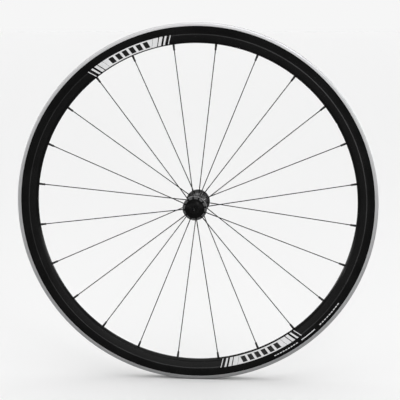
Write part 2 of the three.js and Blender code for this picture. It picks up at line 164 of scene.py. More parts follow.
@dataclass
class Shell:
    """Points and faces of a mesh in the making, in millimetres."""

    points: list[Sequence[float]] = field(default_factory=list)
    faces: list[tuple[int, ...]] = field(default_factory=list)

    def add(self, points: Sequence[Sequence[float]], faces: Sequence[Sequence[int]]) -> None:
        """Adds points, and faces that number those points from 0.

        Args:
            points: their places, in millimetres.
            faces: the corners of each face.
        """
        first = len(self.points)
        self.points.extend(points)
        self.faces.extend(tuple(first + i for i in face) for face in faces)

    def turn(
        self,
        profile: Sequence[Point2],
        segments: int,
        place: Matrix | None = None,
        radius_at: Callable[[float, float, float], float] | None = None,
        hollow: bool = False,
    ) -> None:
        """Adds a ring turned about the Y axis from a closed profile.

        Args:
            profile: radius and y points, in either direction.
            segments: sides of the round.
            place: where the ring goes, or None to leave it about the Y axis.
            radius_at: gives the radius for a radius, a y and an angle, for a ring that isn't round.
            hollow: True for the inside of a cavity, whose faces look in.
        """
        area = sum(
            profile[i - 1][1] * profile[i][0] - profile[i][1] * profile[i - 1][0]
            for i in range(len(profile))
        )
        ring = list(profile) if (area < 0) != hollow else list(reversed(profile))
        points = []
        for s in range(segments):
            angle = TAU * s / segments
            sine, cosine = math.sin(angle), math.cos(angle)
            for radius, y in ring:
                r = radius_at(radius, y, angle) if radius_at else radius
                point = Vector((r * sine, y, r * cosine))
                points.append(tuple(place @ point) if place else tuple(point))
        n = len(ring)
        faces: list[tuple[int, ...]] = []
        for s in range(segments):
            faces += banded(s * n, (s + 1) % segments * n, n)
        self.add(points, faces)

    def rod(self, path: Sequence[Sequence[float]], radii: Sequence[float], sides: int) -> None:
        """Adds a round rod with flat ends, along a path that lies in the XY plane.

        Args:
            path: points of the centre line.
            radii: the rod's radius at each point.
            sides: sides of the round.
        """
        line = np.array(path, float)
        along = np.gradient(line, axis=0)
        points = []
        for centre, way, radius in zip(line, along, radii):
            way = way / np.linalg.norm(way)
            across = np.array([-way[1], way[0], 0.0])
            for k in range(sides):
                turn = TAU * k / sides
                off = across * math.cos(turn) + np.array([0, 0, 1.0]) * math.sin(turn)
                points.append(tuple(centre + radius * off))
        faces: list[tuple[int, ...]] = []
        for s in range(len(line) - 1):
            a, b = s * sides, (s + 1) * sides
            faces.extend(
                (a + k, a + (k + 1) % sides, b + (k + 1) % sides, b + k) for k in range(sides)
            )
        last = (len(line) - 1) * sides
        faces.append(tuple(reversed(range(sides))))
        faces.append(tuple(last + k for k in range(sides)))
        self.add(points, faces)

    def bar(
        self, radius: float, start: float, end: float, sides: int, place: Matrix
    ) -> None:
        """Adds a plain round bar along X, from start to end, then put in place.

        Args:
            radius: its radius.
            start: where it starts on X.
            end: where it ends on X.
            sides: sides of the round.
            place: the matrix that puts it in place.
        """
        first = len(self.points)
        self.rod([(start, 0, 0), (end, 0, 0)], [radius, radius], sides)
        for i in range(first, len(self.points)):
            self.points[i] = tuple(place @ Vector(self.points[i]))

    def ball(self, centre: Sequence[float], radius: float, rings: int, sides: int) -> None:
        """Adds a ball as a closed turned body.

        Args:
            centre: its middle.
            radius: its radius.
            rings: steps from pole to pole.
            sides: sides of the round.
        """
        outline = [
            (radius * math.sin(math.pi * k / rings), radius * math.cos(math.pi * k / rings))
            for k in range(1, rings)
        ]
        points = [
            (
                centre[0] + r * math.sin(TAU * s / sides),
                centre[1] + y,
                centre[2] + r * math.cos(TAU * s / sides),
            )
            for r, y in outline
            for s in range(sides)
        ]
        faces: list[tuple[int, ...]] = []
        for ring in range(len(outline) - 1):
            faces += banded(ring * sides, (ring + 1) * sides, sides)
        top, foot = len(points), len(points) + 1
        points += [
            (centre[0], centre[1] + radius, centre[2]),
            (centre[0], centre[1] - radius, centre[2]),
        ]
        last = (len(outline) - 1) * sides
        faces.extend((top, k, (k + 1) % sides) for k in range(sides))
        faces.extend((foot, last + (k + 1) % sides, last + k) for k in range(sides))
        self.add(points, faces)

    def mesh(self, name: str, sharp: float | None = None) -> bpy.types.Mesh:
        """The shell as a Blender mesh in metres.

        Args:
            name: the mesh's name.
            sharp: degrees from which an edge stays hard, or None to leave the faces flat.

        Returns:
            The mesh.
        """
        made = bpy.data.meshes.new(name)
        made.from_pydata([tuple(v * MM for v in p) for p in self.points], [], self.faces)
        made.update()
        if sharp is not None:
            smoothed(made, sharp)
        return made


def smoothed(mesh: bpy.types.Mesh, sharp: float) -> None:
    """Shades a mesh smooth, with a hard edge where its faces turn by more than sharp degrees."""
    mesh.polygons.foreach_set("use_smooth", [True] * len(mesh.polygons))
    mesh.set_sharp_from_angle(angle=math.radians(sharp))


def linked(name: str, data: bpy.types.ID) -> bpy.types.Object:
    """Puts data in the scene as an object.

    Args:
        name: the object's name.
        data: its mesh, light or camera.

    Returns:
        The new object.
    """
    made = bpy.data.objects.new(name, data)
    bpy.context.scene.collection.objects.link(made)
    return made


def drilled(mesh: bpy.types.Mesh, cutters: Shell, sharp: float) -> bpy.types.Mesh:
    """Cuts holes in a mesh, then smooths it.

    Args:
        mesh: the mesh to cut, which is removed.
        cutters: closed bodies that are taken away from it.
        sharp: degrees from which an edge stays hard.

    Returns:
        The mesh with its holes.
    """
    blank, tool = linked("blank", mesh), linked("tool", cutters.mesh("tool"))
    cut = blank.modifiers.new("holes", "BOOLEAN")
    cut.operation, cut.solver, cut.object = "DIFFERENCE", "EXACT", tool
    depsgraph = bpy.context.evaluated_depsgraph_get()
    result = bpy.data.meshes.new_from_object(blank.evaluated_get(depsgraph))
    for spare in (blank, tool):
        data = spare.data
        bpy.data.objects.remove(spare)
        bpy.data.meshes.remove(data)
    smoothed(result, sharp)
    return result


def painted(
    mesh: bpy.types.Mesh,
    materials: Sequence[bpy.types.Material],
    choose: Callable[[float, float], int],
) -> None:
    """Gives each face of a mesh turned about the axle one of several materials.

    Args:
        mesh: the mesh, in metres.
        materials: the materials, which choose numbers from 0.
        choose: gives the number for a face's radius and its distance from the wheel's
            middle, in millimetres.
    """
    mesh.materials.clear()
    for material in materials:
        mesh.materials.append(material)
    for face in mesh.polygons:
        x, y, z = face.center / MM
        face.material_index = choose(math.hypot(x, z), abs(y))


def set_down(
    name: str,
    mesh: bpy.types.Mesh,
    material: bpy.types.Material,
    body: Body,
    stands_for: Sequence[str] = (),
    place: Matrix | None = None,
) -> bpy.types.Object:
    """Puts a finished mesh in the scene as a piece.

    Args:
        name: the piece's name.
        mesh: its mesh, in metres.
        material: its finish.
        body: the body that it rides on.
        stands_for: the CAD nodes that it is shown for.
        place: its matrix in the row frame.

    Returns:
        The new object.
    """
    if not mesh.materials:
        mesh.materials.append(material)
    piece = linked(name, mesh)
    if place is not None:
        piece.matrix_world = place
    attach(piece, body.value)
    if stands_for:
        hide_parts(*stands_for)
    log.info("%s: %d faces on %s", name, len(mesh.polygons), body.value)
    return piece


# ---------------------------------------------------------------- shader effects


class Effects:
    """Surface effects as shader node groups, built once and used in every finish."""

    BROAD_DETAIL = 4.0
    WANDER_SCALE = 60.0
    BAND_RATES = (4100.0, 1730.0)
    CROSSING_RELIEF = 0.3
    PROUD_FROM = 0.515
    SPECKLE_SCALE = 900.0
    RUB_TILT = (0.5, 0.9, 0.3)
    RUB_STRETCH = (900.0, 35.0, 60.0)
    RUB_FROM = 0.66
    RUB_GAIN = 9.0
    SPECK_SCALE = 260.0
    SPECK_SIZE = 0.06

    def __init__(self) -> None:
        """Builds the groups."""
        self.grain = self._grain()
        self.turned = self._turned()
        self.weave = self._weave()
        self.wear = self._wear()
        self.marks = self._marks()

    @staticmethod
    def _group(
        name: str, inputs: dict[str, float | tuple[float, ...]], outputs: Sequence[str]
    ) -> tuple[bpy.types.NodeTree, bpy.types.Node, bpy.types.Node]:
        """An empty group with its sockets.

        Args:
            name: the group's name.
            inputs: each input's name and its usual value; three numbers make a vector.
            outputs: names of the outputs, all plain values.

        Returns:
            The group, its input node and its output node.
        """
        tree = bpy.data.node_groups.new(name, "ShaderNodeTree")
        for key, value in inputs.items():
            kind = "NodeSocketVector" if isinstance(value, tuple) else "NodeSocketFloat"
            socket = tree.interface.new_socket(name=key, in_out="INPUT", socket_type=kind)
            socket.default_value = value
        for key in outputs:
            tree.interface.new_socket(name=key, in_out="OUTPUT", socket_type="NodeSocketFloat")
        return tree, tree.nodes.new("NodeGroupInput"), tree.nodes.new("NodeGroupOutput")

    @staticmethod
    def reckon(
        tree: bpy.types.NodeTree,
        operation: str,
        *terms: bpy.types.NodeSocket | float,
        clamp: bool = False,
    ) -> bpy.types.NodeSocket:
        """A Math node fed with sockets or numbers; returns its result.

        Args:
            tree: the node tree that it goes in.
            operation: the node's operation.
            terms: sockets or numbers for its inputs, in order.
            clamp: True to keep the result between 0 and 1.

        Returns:
            The node's result.
        """
        node = tree.nodes.new("ShaderNodeMath")
        node.operation, node.use_clamp = operation, clamp
        for socket, term in zip(node.inputs, terms):
            if isinstance(term, bpy.types.NodeSocket):
                tree.links.new(term, socket)
            else:
                socket.default_value = term
        return node.outputs[0]

    @staticmethod
    def _place(tree: bpy.types.NodeTree) -> bpy.types.NodeSocket:
        """The point on the piece, in metres in the piece's own frame."""
        return tree.nodes.new("ShaderNodeTexCoord").outputs["Object"]

    def _ring(self, tree: bpy.types.NodeTree) -> tuple[bpy.types.NodeSocket, ...]:
        """Distance from the axle, distance along it, and angle about it.

        Args:
            tree: the node tree that it goes in.

        Returns:
            The three as sockets, in metres and radians.
        """
        split = tree.nodes.new("ShaderNodeSeparateXYZ")
        tree.links.new(self._place(tree), split.inputs[0])
        x, y, z = split.outputs
        square = self.reckon(tree, "MULTIPLY", x, x)
        radius = self.reckon(tree, "SQRT", self.reckon(tree, "MULTIPLY_ADD", z, z, square))
        return radius, y, self.reckon(tree, "ARCTAN2", x, z)

    def _noise(
        self,
        tree: bpy.types.NodeTree,
        where: bpy.types.NodeSocket,
        scale: bpy.types.NodeSocket | float,
        detail: float = 3.0,
    ) -> bpy.types.NodeSocket:
        """A Noise node's value at a place.

        Args:
            tree: the node tree that it goes in.
            where: the place to look up.
            scale: its scale, as a socket or a number.
            detail: its detail.

        Returns:
            The value.
        """
        node = tree.nodes.new("ShaderNodeTexNoise")
        node.inputs["Detail"].default_value = detail
        tree.links.new(where, node.inputs["Vector"])
        if isinstance(scale, bpy.types.NodeSocket):
            tree.links.new(scale, node.inputs["Scale"])
        else:
            node.inputs["Scale"].default_value = scale
        return node.outputs[0]

    def _grain(self) -> bpy.types.NodeTree:
        """Fine grain and broad mottling, stretched where asked.

        Returns:
            The group.
        """
        tree, given, result = self._group(
            "fine_grain",
            {"Scale": 1500.0, "Broad Scale": 25.0, "Stretch": (1.0, 1.0, 1.0)},
            ("Fine", "Broad"),
        )
        stretched = tree.nodes.new("ShaderNodeVectorMath")
        stretched.operation = "MULTIPLY"
        tree.links.new(self._place(tree), stretched.inputs[0])
        tree.links.new(given.outputs["Stretch"], stretched.inputs[1])
        fine = self._noise(tree, stretched.outputs[0], given.outputs["Scale"])
        broad = self._noise(
            tree, stretched.outputs[0], given.outputs["Broad Scale"], self.BROAD_DETAIL
        )
        tree.links.new(fine, result.inputs["Fine"])
        tree.links.new(broad, result.inputs["Broad"])
        return tree

    def _turned(self) -> bpy.types.NodeTree:
        """The fine rings that a lathe tool leaves round the axle.

        Returns:
            The group.
        """
        tree, given, result = self._group(
            "lathe_lines", {"Pitch": 0.0004, "Wander": 0.5}, ("Height", "Bands")
        )
        radius, y, _ = self._ring(tree)
        along = self.reckon(tree, "ADD", radius, y)
        turns = self.reckon(tree, "DIVIDE", along, given.outputs["Pitch"])
        wander = self._noise(tree, self._place(tree), self.WANDER_SCALE)
        turns = self.reckon(tree, "MULTIPLY_ADD", wander, given.outputs["Wander"], turns)
        wave = self.reckon(tree, "SINE", self.reckon(tree, "MULTIPLY", turns, TAU))
        tree.links.new(self.reckon(tree, "MULTIPLY_ADD", wave, 0.5, 0.5), result.inputs["Height"])
        beats = [
            self.reckon(tree, "SINE", self.reckon(tree, "MULTIPLY", along, rate))
            for rate in self.BAND_RATES
        ]
        bands = self.reckon(tree, "MULTIPLY", *beats)
        tree.links.new(self.reckon(tree, "MULTIPLY_ADD", bands, 0.5, 0.5), result.inputs["Bands"])
        return tree

    def _weave(self) -> bpy.types.NodeTree:
        """Over and under threads of a tape that runs round the axle.

        Returns:
            The group.
        """
        tree, given, result = self._group(
            "tape_weave", {"Thread": 0.0006, "Radius": 0.308}, ("Height", "Crossing")
        )
        _, y, angle = self._ring(tree)
        around = self.reckon(tree, "MULTIPLY", angle, given.outputs["Radius"])
        waves = []
        for run in (around, y):
            turns = self.reckon(tree, "DIVIDE", run, given.outputs["Thread"])
            waves.append(self.reckon(tree, "SINE", self.reckon(tree, "MULTIPLY", turns, math.pi)))
        crossing = self.reckon(tree, "MULTIPLY", waves[0], waves[1])
        ribs = [self.reckon(tree, "ABSOLUTE", wave) for wave in waves]
        height = self.reckon(tree, "MAXIMUM", ribs[0], ribs[1])
        height = self.reckon(tree, "MULTIPLY_ADD", crossing, self.CROSSING_RELIEF, height)
        tree.links.new(height, result.inputs[0])
        tree.links.new(self.reckon(tree, "MULTIPLY_ADD", crossing, 0.5, 0.5), result.inputs[1])
        return tree

    def _wear(self) -> bpy.types.NodeTree:
        """Where edges stand proud and have been rubbed, broken up by grain.

        Returns:
            The group.
        """
        tree, given, result = self._group(
            "edge_wear", {"Sharpness": 14.0, "Breakup": 0.5}, ("Worn",)
        )
        point = tree.nodes.new("ShaderNodeNewGeometry").outputs["Pointiness"]
        proud = self.reckon(tree, "SUBTRACT", point, self.PROUD_FROM)
        proud = self.reckon(tree, "MULTIPLY", proud, given.outputs["Sharpness"], clamp=True)
        speckle = self._noise(tree, self._place(tree), self.SPECKLE_SCALE)
        broken = self.reckon(tree, "SUBTRACT", 1.0, given.outputs["Breakup"])
        kept = self.reckon(
            tree, "MULTIPLY_ADD", speckle, given.outputs["Breakup"], broken, clamp=True
        )
        tree.links.new(self.reckon(tree, "MULTIPLY", proud, kept), result.inputs["Worn"])
        return tree

    def _marks(self) -> bpy.types.NodeTree:
        """Faint hairline rubs and specks of dust from handling.

        Returns:
            The group.
        """
        tree, given, result = self._group("handling_marks", {"Amount": 0.5}, ("Rubs", "Specks"))
        tilted = tree.nodes.new("ShaderNodeMapping")
        tilted.inputs["Rotation"].default_value = self.RUB_TILT
        tilted.inputs["Scale"].default_value = self.RUB_STRETCH
        tree.links.new(self._place(tree), tilted.inputs["Vector"])
        hair = self._noise(tree, tilted.outputs[0], 1.0, 1.0)
        rubs = self.reckon(tree, "SUBTRACT", hair, self.RUB_FROM)
        rubs = self.reckon(tree, "MULTIPLY", rubs, self.RUB_GAIN, clamp=True)
        specks = tree.nodes.new("ShaderNodeTexVoronoi")
        specks.inputs["Scale"].default_value = self.SPECK_SCALE
        tree.links.new(self._place(tree), specks.inputs["Vector"])
        dot = self.reckon(tree, "LESS_THAN", specks.outputs["Distance"], self.SPECK_SIZE)
        for value, socket in ((rubs, "Rubs"), (dot, "Specks")):
            amount = self.reckon(tree, "MULTIPLY", value, given.outputs["Amount"])
            tree.links.new(amount, result.inputs[socket])
        return tree


# ---------------------------------------------------------------- finishes


@dataclass(frozen=True)
class Finish:
    """One finish: its colours, its gloss, and the texture that carries them."""

    name: str
    dark: float
    light: float
    texture: Texture
    metallic: float = 0.0
    gloss: Point2 = (0.3, 0.4)
    specular: float = 0.5
    coat: float = 0.0
    coat_roughness: float = 0.1
    anisotropy: float = 0.0
    pitch: float = 0.4
    relief: float = 0.02
    worn: float = 0.0
    worn_shade: float = 0.35
    dust: float = 0.3

    DRAWN_STRETCH: ClassVar[Point3] = (0.03, 1.0, 1.0)
    RUBS: ClassVar[float] = 0.35
    RUB_LIFT: ClassVar[Point2] = (1.5, 0.02)
    RUB_GLOSS: ClassVar[float] = 0.12
    SPECKS: ClassVar[float] = 0.5
    SPECK_SHADE: ClassVar[float] = 0.35
    MASK_ENDS: ClassVar[Point2] = (0.25, 0.75)
    TONE_STOPS: ClassVar[Point2] = (0.3, 0.7)
    COOLNESS: ClassVar[float] = 1.01

    def build(self, effects: Effects) -> bpy.types.Material:
        """Makes the finish as a material.

        Args:
            effects: the shared node groups.

        Returns:
            The material.
        """
        material = bpy.data.materials.new(self.name)
        material.use_nodes = True
        tree = material.node_tree
        shader = tree.nodes["Principled BSDF"]
        shader.inputs["Metallic"].default_value = self.metallic
        shader.inputs["Specular IOR Level"].default_value = self.specular
        shader.inputs["Coat Weight"].default_value = self.coat
        shader.inputs["Coat Roughness"].default_value = self.coat_roughness

        grain = self._effect(tree, effects.grain)
        if self.texture is Texture.DRAWN:
            grain.inputs["Stretch"].default_value = self.DRAWN_STRETCH
        marks = self._effect(tree, effects.marks, Amount=self.dust)
        pattern, height = self._pattern(tree, effects, grain)

        tone = self._mixed(tree, pattern, self.dark, self.light)
        if self.worn > 0:
            wear = self._effect(tree, effects.wear)
            amount = self._scaled(tree, wear.outputs["Worn"], self.worn)
            tone = self.blended(tree, amount, tone, self.worn_shade)
        rubs = self._scaled(tree, marks.outputs["Rubs"], self.RUBS)
        gain, lift = self.RUB_LIFT
        tone = self.blended(tree, rubs, tone, min(1.0, self.light * gain + lift))
        specks = self._scaled(tree, marks.outputs["Specks"], self.SPECKS)
        tone = self.blended(tree, specks, tone, self.SPECK_SHADE)
        tree.links.new(tone, shader.inputs["Base Color"])

        gloss = self._mixed_value(tree, grain.outputs["Broad"], *self.gloss)
        rubbed = Effects.reckon(
            tree, "MULTIPLY_ADD", marks.outputs["Rubs"], self.RUB_GLOSS, gloss, clamp=True
        )
        tree.links.new(rubbed, shader.inputs["Roughness"])

        bump = tree.nodes.new("ShaderNodeBump")
        bump.inputs["Distance"].default_value = self.relief * MM
        tree.links.new(height, bump.inputs["Height"])
        tree.links.new(bump.outputs[0], shader.inputs["Normal"])
        if self.anisotropy > 0:
            shader.inputs["Anisotropic"].default_value = self.anisotropy
            tangent = tree.nodes.new("ShaderNodeTangent")
            tangent.direction_type, tangent.axis = "RADIAL", "Y"
            tree.links.new(tangent.outputs[0], shader.inputs["Tangent"])
        return material

    def _pattern(
        self, tree: bpy.types.NodeTree, effects: Effects, grain: bpy.types.Node
    ) -> tuple[bpy.types.NodeSocket, bpy.types.NodeSocket]:
        """The mask that mixes the two shades, and the height for the bump.

        Args:
            tree: the material's node tree.
            effects: the shared node groups.
            grain: the grain that is already in the material.

        Returns:
            The mask and the height.
        """
        if self.texture is Texture.TURNED:
            lines = self._effect(tree, effects.turned, Pitch=self.pitch * MM)
            return lines.outputs["Bands"], lines.outputs["Height"]
        if self.texture is Texture.WOVEN:
            weave = self._effect(tree, effects.weave, Thread=self.pitch * MM)
            return weave.outputs["Crossing"], weave.outputs["Height"]
        return grain.outputs["Broad"], grain.outputs["Fine"]

    @staticmethod
    def _effect(
        tree: bpy.types.NodeTree, group: bpy.types.NodeTree, **values: float
    ) -> bpy.types.Node:
        """Places a shared group in a material, with its own values.

        Args:
            tree: the material's node tree.
            group: the shared group.
            values: its inputs by name.

        Returns:
            The group's node.
        """
        node = tree.nodes.new("ShaderNodeGroup")
        node.node_tree = group
        for key, value in values.items():
            node.inputs[key].default_value = value
        return node

    @staticmethod
    def _mixed_value(
        tree: bpy.types.NodeTree, factor: bpy.types.NodeSocket, low: float, high: float
    ) -> bpy.types.NodeSocket:
        """A value between low and high by a mask.

        Args:
            tree: the material's node tree.
            factor: the mask.
            low: the value where the mask is dark.
            high: the value where the mask is light.

        Returns:
            The value.
        """
        node = tree.nodes.new("ShaderNodeMapRange")
        node.inputs["From Min"].default_value = Finish.MASK_ENDS[0]
        node.inputs["From Max"].default_value = Finish.MASK_ENDS[1]
        node.inputs["To Min"].default_value = low
        node.inputs["To Max"].default_value = high
        tree.links.new(factor, node.inputs["Value"])
        return node.outputs[0]

    @staticmethod
    def _scaled(
        tree: bpy.types.NodeTree, value: bpy.types.NodeSocket, by: float
    ) -> bpy.types.NodeSocket:
        """A value times a number."""
        return Effects.reckon(tree, "MULTIPLY", value, by)

    @staticmethod
    def _mixed(
        tree: bpy.types.NodeTree, factor: bpy.types.NodeSocket, dark: float, light: float
    ) -> bpy.types.NodeSocket:
        """A neutral colour between a dark and a light shade, by a mask.

        Args:
            tree: the material's node tree.
            factor: the mask.
            dark: the shade where the mask is dark.
            light: the shade where the mask is light.

        Returns:
            The colour.
        """
        node = tree.nodes.new("ShaderNodeValToRGB")
        for stop, place, shade in zip(node.color_ramp.elements, Finish.TONE_STOPS, (dark, light)):
            stop.position = place
            stop.color = (shade, shade, shade * Finish.COOLNESS, 1.0)
        tree.links.new(factor, node.inputs[0])
        return node.outputs[0]

    @staticmethod
    def blended(
        tree: bpy.types.NodeTree,
        factor: bpy.types.NodeSocket,
        below: bpy.types.NodeSocket,
        shade: float,
    ) -> bpy.types.NodeSocket:
        """A colour with a neutral shade laid over it by a mask.

        Args:
            tree: the material's node tree.
            factor: the mask.
            below: the colour underneath.
            shade: the shade on top.

        Returns:
            The colour.
        """
        node = tree.nodes.new("ShaderNodeMix")
        node.data_type = "RGBA"
        tree.links.new(factor, node.inputs["Factor"])
        colours = [s for s in node.inputs if s.type == "RGBA"]
        colours[1].default_value = (shade, shade, shade, 1.0)
        tree.links.new(below, colours[0])
        return next(s for s in node.outputs if s.type == "RGBA")


FINISHES: dict[str, Finish] = {
    finish.name: finish
    for finish in (
        Finish("anodised_wall", 0.002, 0.004, Texture.SATIN, gloss=(0.18, 0.25),
               specular=0.16, relief=0.004, worn=0.25, worn_shade=0.12),
        # A lighter metallic strip along the rim's crease: a painted highlight line where the crease
        # catches the light.
        Finish("crease_painted_highlight", 0.045, 0.07, Texture.SATIN, metallic=0.9, gloss=(0.16, 0.20)),
        Finish("machined_track", 0.72, 0.84, Texture.TURNED, metallic=1.0, gloss=(0.30, 0.38),
               anisotropy=0.4, pitch=0.45, relief=0.006, dust=0.15),
        Finish("silver_film", 0.70, 0.78, Texture.SATIN, gloss=(0.24, 0.32),
               relief=0.002, coat=0.3, dust=0.15),
        Finish("black_film", 0.004, 0.007, Texture.SATIN, gloss=(0.25, 0.32),
               specular=0.3, relief=0.002),
        Finish("woven_tape", 0.02, 0.07, Texture.WOVEN, gloss=(0.55, 0.7),
               specular=0.3, pitch=0.6, relief=0.12),
        Finish("black_spoke", 0.006, 0.014, Texture.DRAWN, metallic=0.3,
               gloss=(0.28, 0.36), specular=0.15, relief=0.003),
        Finish("black_nipple", 0.010, 0.02, Texture.SATIN, metallic=0.3, gloss=(0.25, 0.35),
               relief=0.003, worn=0.35, worn_shade=0.2, dust=0.1),
        Finish("turned_black", 0.09, 0.11, Texture.TURNED, metallic=0.9, gloss=(0.18, 0.22),
               pitch=0.3, relief=0.001),
        # A lighter bare-metal finish for the hub flange's outer face: a painted highlight on the
        # flange.
        Finish("flange_face_painted_highlight", 0.14, 0.17, Texture.TURNED, metallic=1.0, gloss=(0.28, 0.34),
               pitch=0.3, relief=0.001),
        Finish("moulded_cap", 0.003, 0.005, Texture.SATIN, gloss=(0.22, 0.30),
               specular=0.12, relief=0.002, dust=0.15),
        Finish("turned_axle", 0.55, 0.7, Texture.TURNED, metallic=1.0, gloss=(0.25, 0.35),
               pitch=0.25, relief=0.003, dust=0.1),
        Finish("ground_steel", 0.55, 0.65, Texture.TURNED, metallic=1.0, gloss=(0.15, 0.22),
               pitch=0.12, relief=0.001, dust=0.05),
        Finish("polished_ball", 0.6, 0.68, Texture.SATIN, metallic=1.0, gloss=(0.06, 0.12),
               relief=0.0005, dust=0.05),
    )
}


# ---------------------------------------------------------------- rim


@dataclass
class Decal:
    """Printed film on the rim's walls: a silver panel with slanted bars at each end."""

    low: float = 283.6
    high: float = 298.2
    centres: tuple[float, ...] = (336.3, 156.2)
    half_panel: float = 47.0
    slant: float = 0.42
    bars: tuple[tuple[float, float], ...] = ((9.2, 0.45), (5.6, 1.7), (3.4, 3.7), (1.5, 5.4))
    blocks: int = 6
    block_pitch: float = 12.9
    block_width: float = 8.4
    block_inset: float = 1.9
    stripe_radius: float = 304.8
    stripe_width: float = 1.5
    stripe: Point2 = (136.1, 141.9)
    dashed: tuple[Point2, ...] = ((124.2, 134.3), (143.5, 152.9))
    dash_count: int = 9
    dash_share: float = 0.68
    block_slant: float = 0.25
    stripe_slant: float = 0.3
    film: float = 0.07
    block_film: float = 0.112
    sunk: float = 0.12
    longest_face: float = 2.5


@dataclass
class Rim:
    """The rim: a hollow deep section with hooked edges, its tracks, decals and tape."""

    edge: float = 317.0
    nose: float = 281.7
    nose_rounding: float = 7.5
    nose_sweep: float = 62.0
    nose_steps: int = 9
    floor: float = 2.8
    floor_half: float = 4.3
    crease: Point2 = (296.9, 8.7)
    # half the width of the painted highlight strip along the crease
    crease_highlight_band: float = 0.7
    track_foot: float = 310.9
    half_width: float = 10.25
    channel_half: float = 7.5
    hook_lip: float = 0.8
    hook_height: float = 2.0
    hook_foot: float = 3.2
    bead_seat: float = 311.0
    shelf_half: float = 6.1
    well: float = 307.4
    well_half: float = 5.2
    wall: float = 1.1
    side_wall: float = 1.75
    track_sink: float = 0.3
    track_lap: float = 0.02
    lip_gap: float = 0.05
    lip_end: float = 8.2
    lip_rounding: float = 1.5
    groove: float = 0.35
    valve_angle: float = 59.45
    valve_radius: float = 3.25
    valve_sides: int = 24
    skin_step: float = 0.4
    tape_clearance: float = 0.1
    tape_thickness: float = 0.6
    segments: int = 288
    decal: Decal = field(default_factory=Decal)

    def wall_corners(self) -> list[Corner]:
        """The left outside, from the nose to the foot of the brake track.

        Returns:
            Its corners.
        """
        sweep = math.radians(self.nose_sweep)
        arc = [
            (
                self.nose + self.nose_rounding * (1 - math.cos(sweep * k / self.nose_steps)),
                self.nose_rounding * math.sin(sweep * k / self.nose_steps),
                0.0,
            )
            for k in range(self.nose_steps)
        ]
        end = (
            self.nose + self.nose_rounding * (1 - math.cos(sweep)),
            self.nose_rounding * math.sin(sweep),
            0.8,
        )
        slope = (self.half_width - self.crease[1]) / (self.track_foot - self.crease[0])
        foot = self.half_width - slope * self.groove
        return [*arc, end, (*self.crease, 1.6), (self.track_foot - self.groove, foot, 0.15)]

    def outline(self) -> list[Point2]:
        """The whole outside of the rim's section, closed.

        Returns:
            Radius and y points.
        """
        under = self.half_width - self.track_sink
        half = [
            *self.wall_corners(),
            (self.track_foot - self.groove / 2, under, 0.08),
            (self.edge - self.track_sink, under, 0.05),
            (self.edge - self.track_sink, self.lip_end - self.lip_gap, 0.0),
            (self.edge - self.track_lap, self.lip_end - self.lip_gap, 0.05),
            (self.edge - self.track_lap, self.channel_half, 0.4),
            (self.edge - self.hook_height, self.channel_half, 0.5),
            (self.bead_seat + self.hook_foot, self.channel_half + self.hook_lip, 0.5),
            (self.bead_seat, self.channel_half + self.hook_lip, 0.5),
            (self.bead_seat, self.shelf_half, 0.7),
            (self.well, self.well_half, 0.8),
            (self.well, 0.0, 0.0),
        ]
        return eased(both_sides(half))

    def hollow(self) -> list[Point2]:
        """The section's cavity, closed.

        Returns:
            Radius and y points.
        """
        floor = self.nose + self.floor
        ceiling = self.bead_seat - self.wall
        half = [
            (floor, 0.0, 0.0),
            (floor, self.floor_half, 0.0),
            (self.crease[0], self.crease[1] - self.wall, 0.0),
            (ceiling, self.half_width - self.side_wall, 0.0),
            (ceiling, self.shelf_half + self.wall / 2, 0.0),
            (self.well - self.wall, self.well_half, 0.0),
            (self.well - self.wall, 0.0, 0.0),
        ]
        return eased(both_sides(half))

    def _bore_valve(self, cutters: Shell, start: float, end: float) -> None:
        """Adds the cutter for the valve's hole between two distances from the axle."""
        place = Matrix.Rotation(math.radians(self.valve_angle - 90), 4, "Y")
        cutters.bar(self.valve_radius, start, end, self.valve_sides, place)

    def build(self, lacing: "Lacing", dress: dict[str, bpy.types.Material]) -> None:
        """Makes the rim with its holes, tracks, decals and tape.

        Args:
            lacing: the spokes and nipples, which say where the rim is drilled.
            dress: the materials by name.
        """
        body = Shell()
        body.turn(self.outline(), self.segments)
        body.turn(self.hollow(), self.segments // 2, hollow=True)
        holes = lacing.rim_holes()
        self._bore_valve(holes, self.nose - 4, self.edge - 3)
        mesh = drilled(body.mesh("rim_body"), holes, sharp=32)
        # The faces along the crease take a lighter metallic finish: a painted highlight line along
        # the wall's crease.
        radius, half = self.crease
        painted(
            mesh,
            (dress["anodised_wall"], dress["crease_painted_highlight"]),
            lambda reach, out: int(
                out > half - self.crease_highlight_band and abs(reach - radius) < self.crease_highlight_band
            ),
        )
        set_down("rim_body", mesh, dress["anodised_wall"], Body.WHEEL, ["rim"])
        for side in Side:
            self._track(side, dress["machined_track"])
            self._decals(side, dress)
        self._tape(dress["woven_tape"])

    def _track(self, side: Side, material: bpy.types.Material) -> None:
        """Makes a machined brake track as a band let into the wall.

        Args:
            side: the side of the wheel.
            material: its finish.
        """
        low, high = self.track_foot, self.edge - self.track_sink + self.track_lap
        inner = self.half_width - self.track_sink + self.track_lap
        corners = [
            (low, inner, 0.0),
            (high, inner, 0.0),
            (high, self.lip_end, 0.0),
            (self.edge, self.lip_end, 0.05),
            (self.edge, self.half_width, self.lip_rounding),
            (low, self.half_width, 0.12),
        ]
        band = Shell()
        band.turn(eased([(r, side.value * y, e) for r, y, e in corners], 7), self.segments)
        mesh = band.mesh(f"brake_track_{side.word}", sharp=40)
        set_down(mesh.name, mesh, material, Body.WHEEL)

    @cached_property
    def wall_line(self) -> list[Point2]:
        """Radius and y of the left wall's outside, from the nose to the brake track.

        Returns:
            The points.
        """
        line = [(radius, y) for radius, y in self.outline() if y > 0]
        ends = self.track_foot - self.skin_step
        foot = next(i for i, (radius, _) in enumerate(line) if radius >= ends)
        return [(self.nose, 0.0), *line[:foot]]

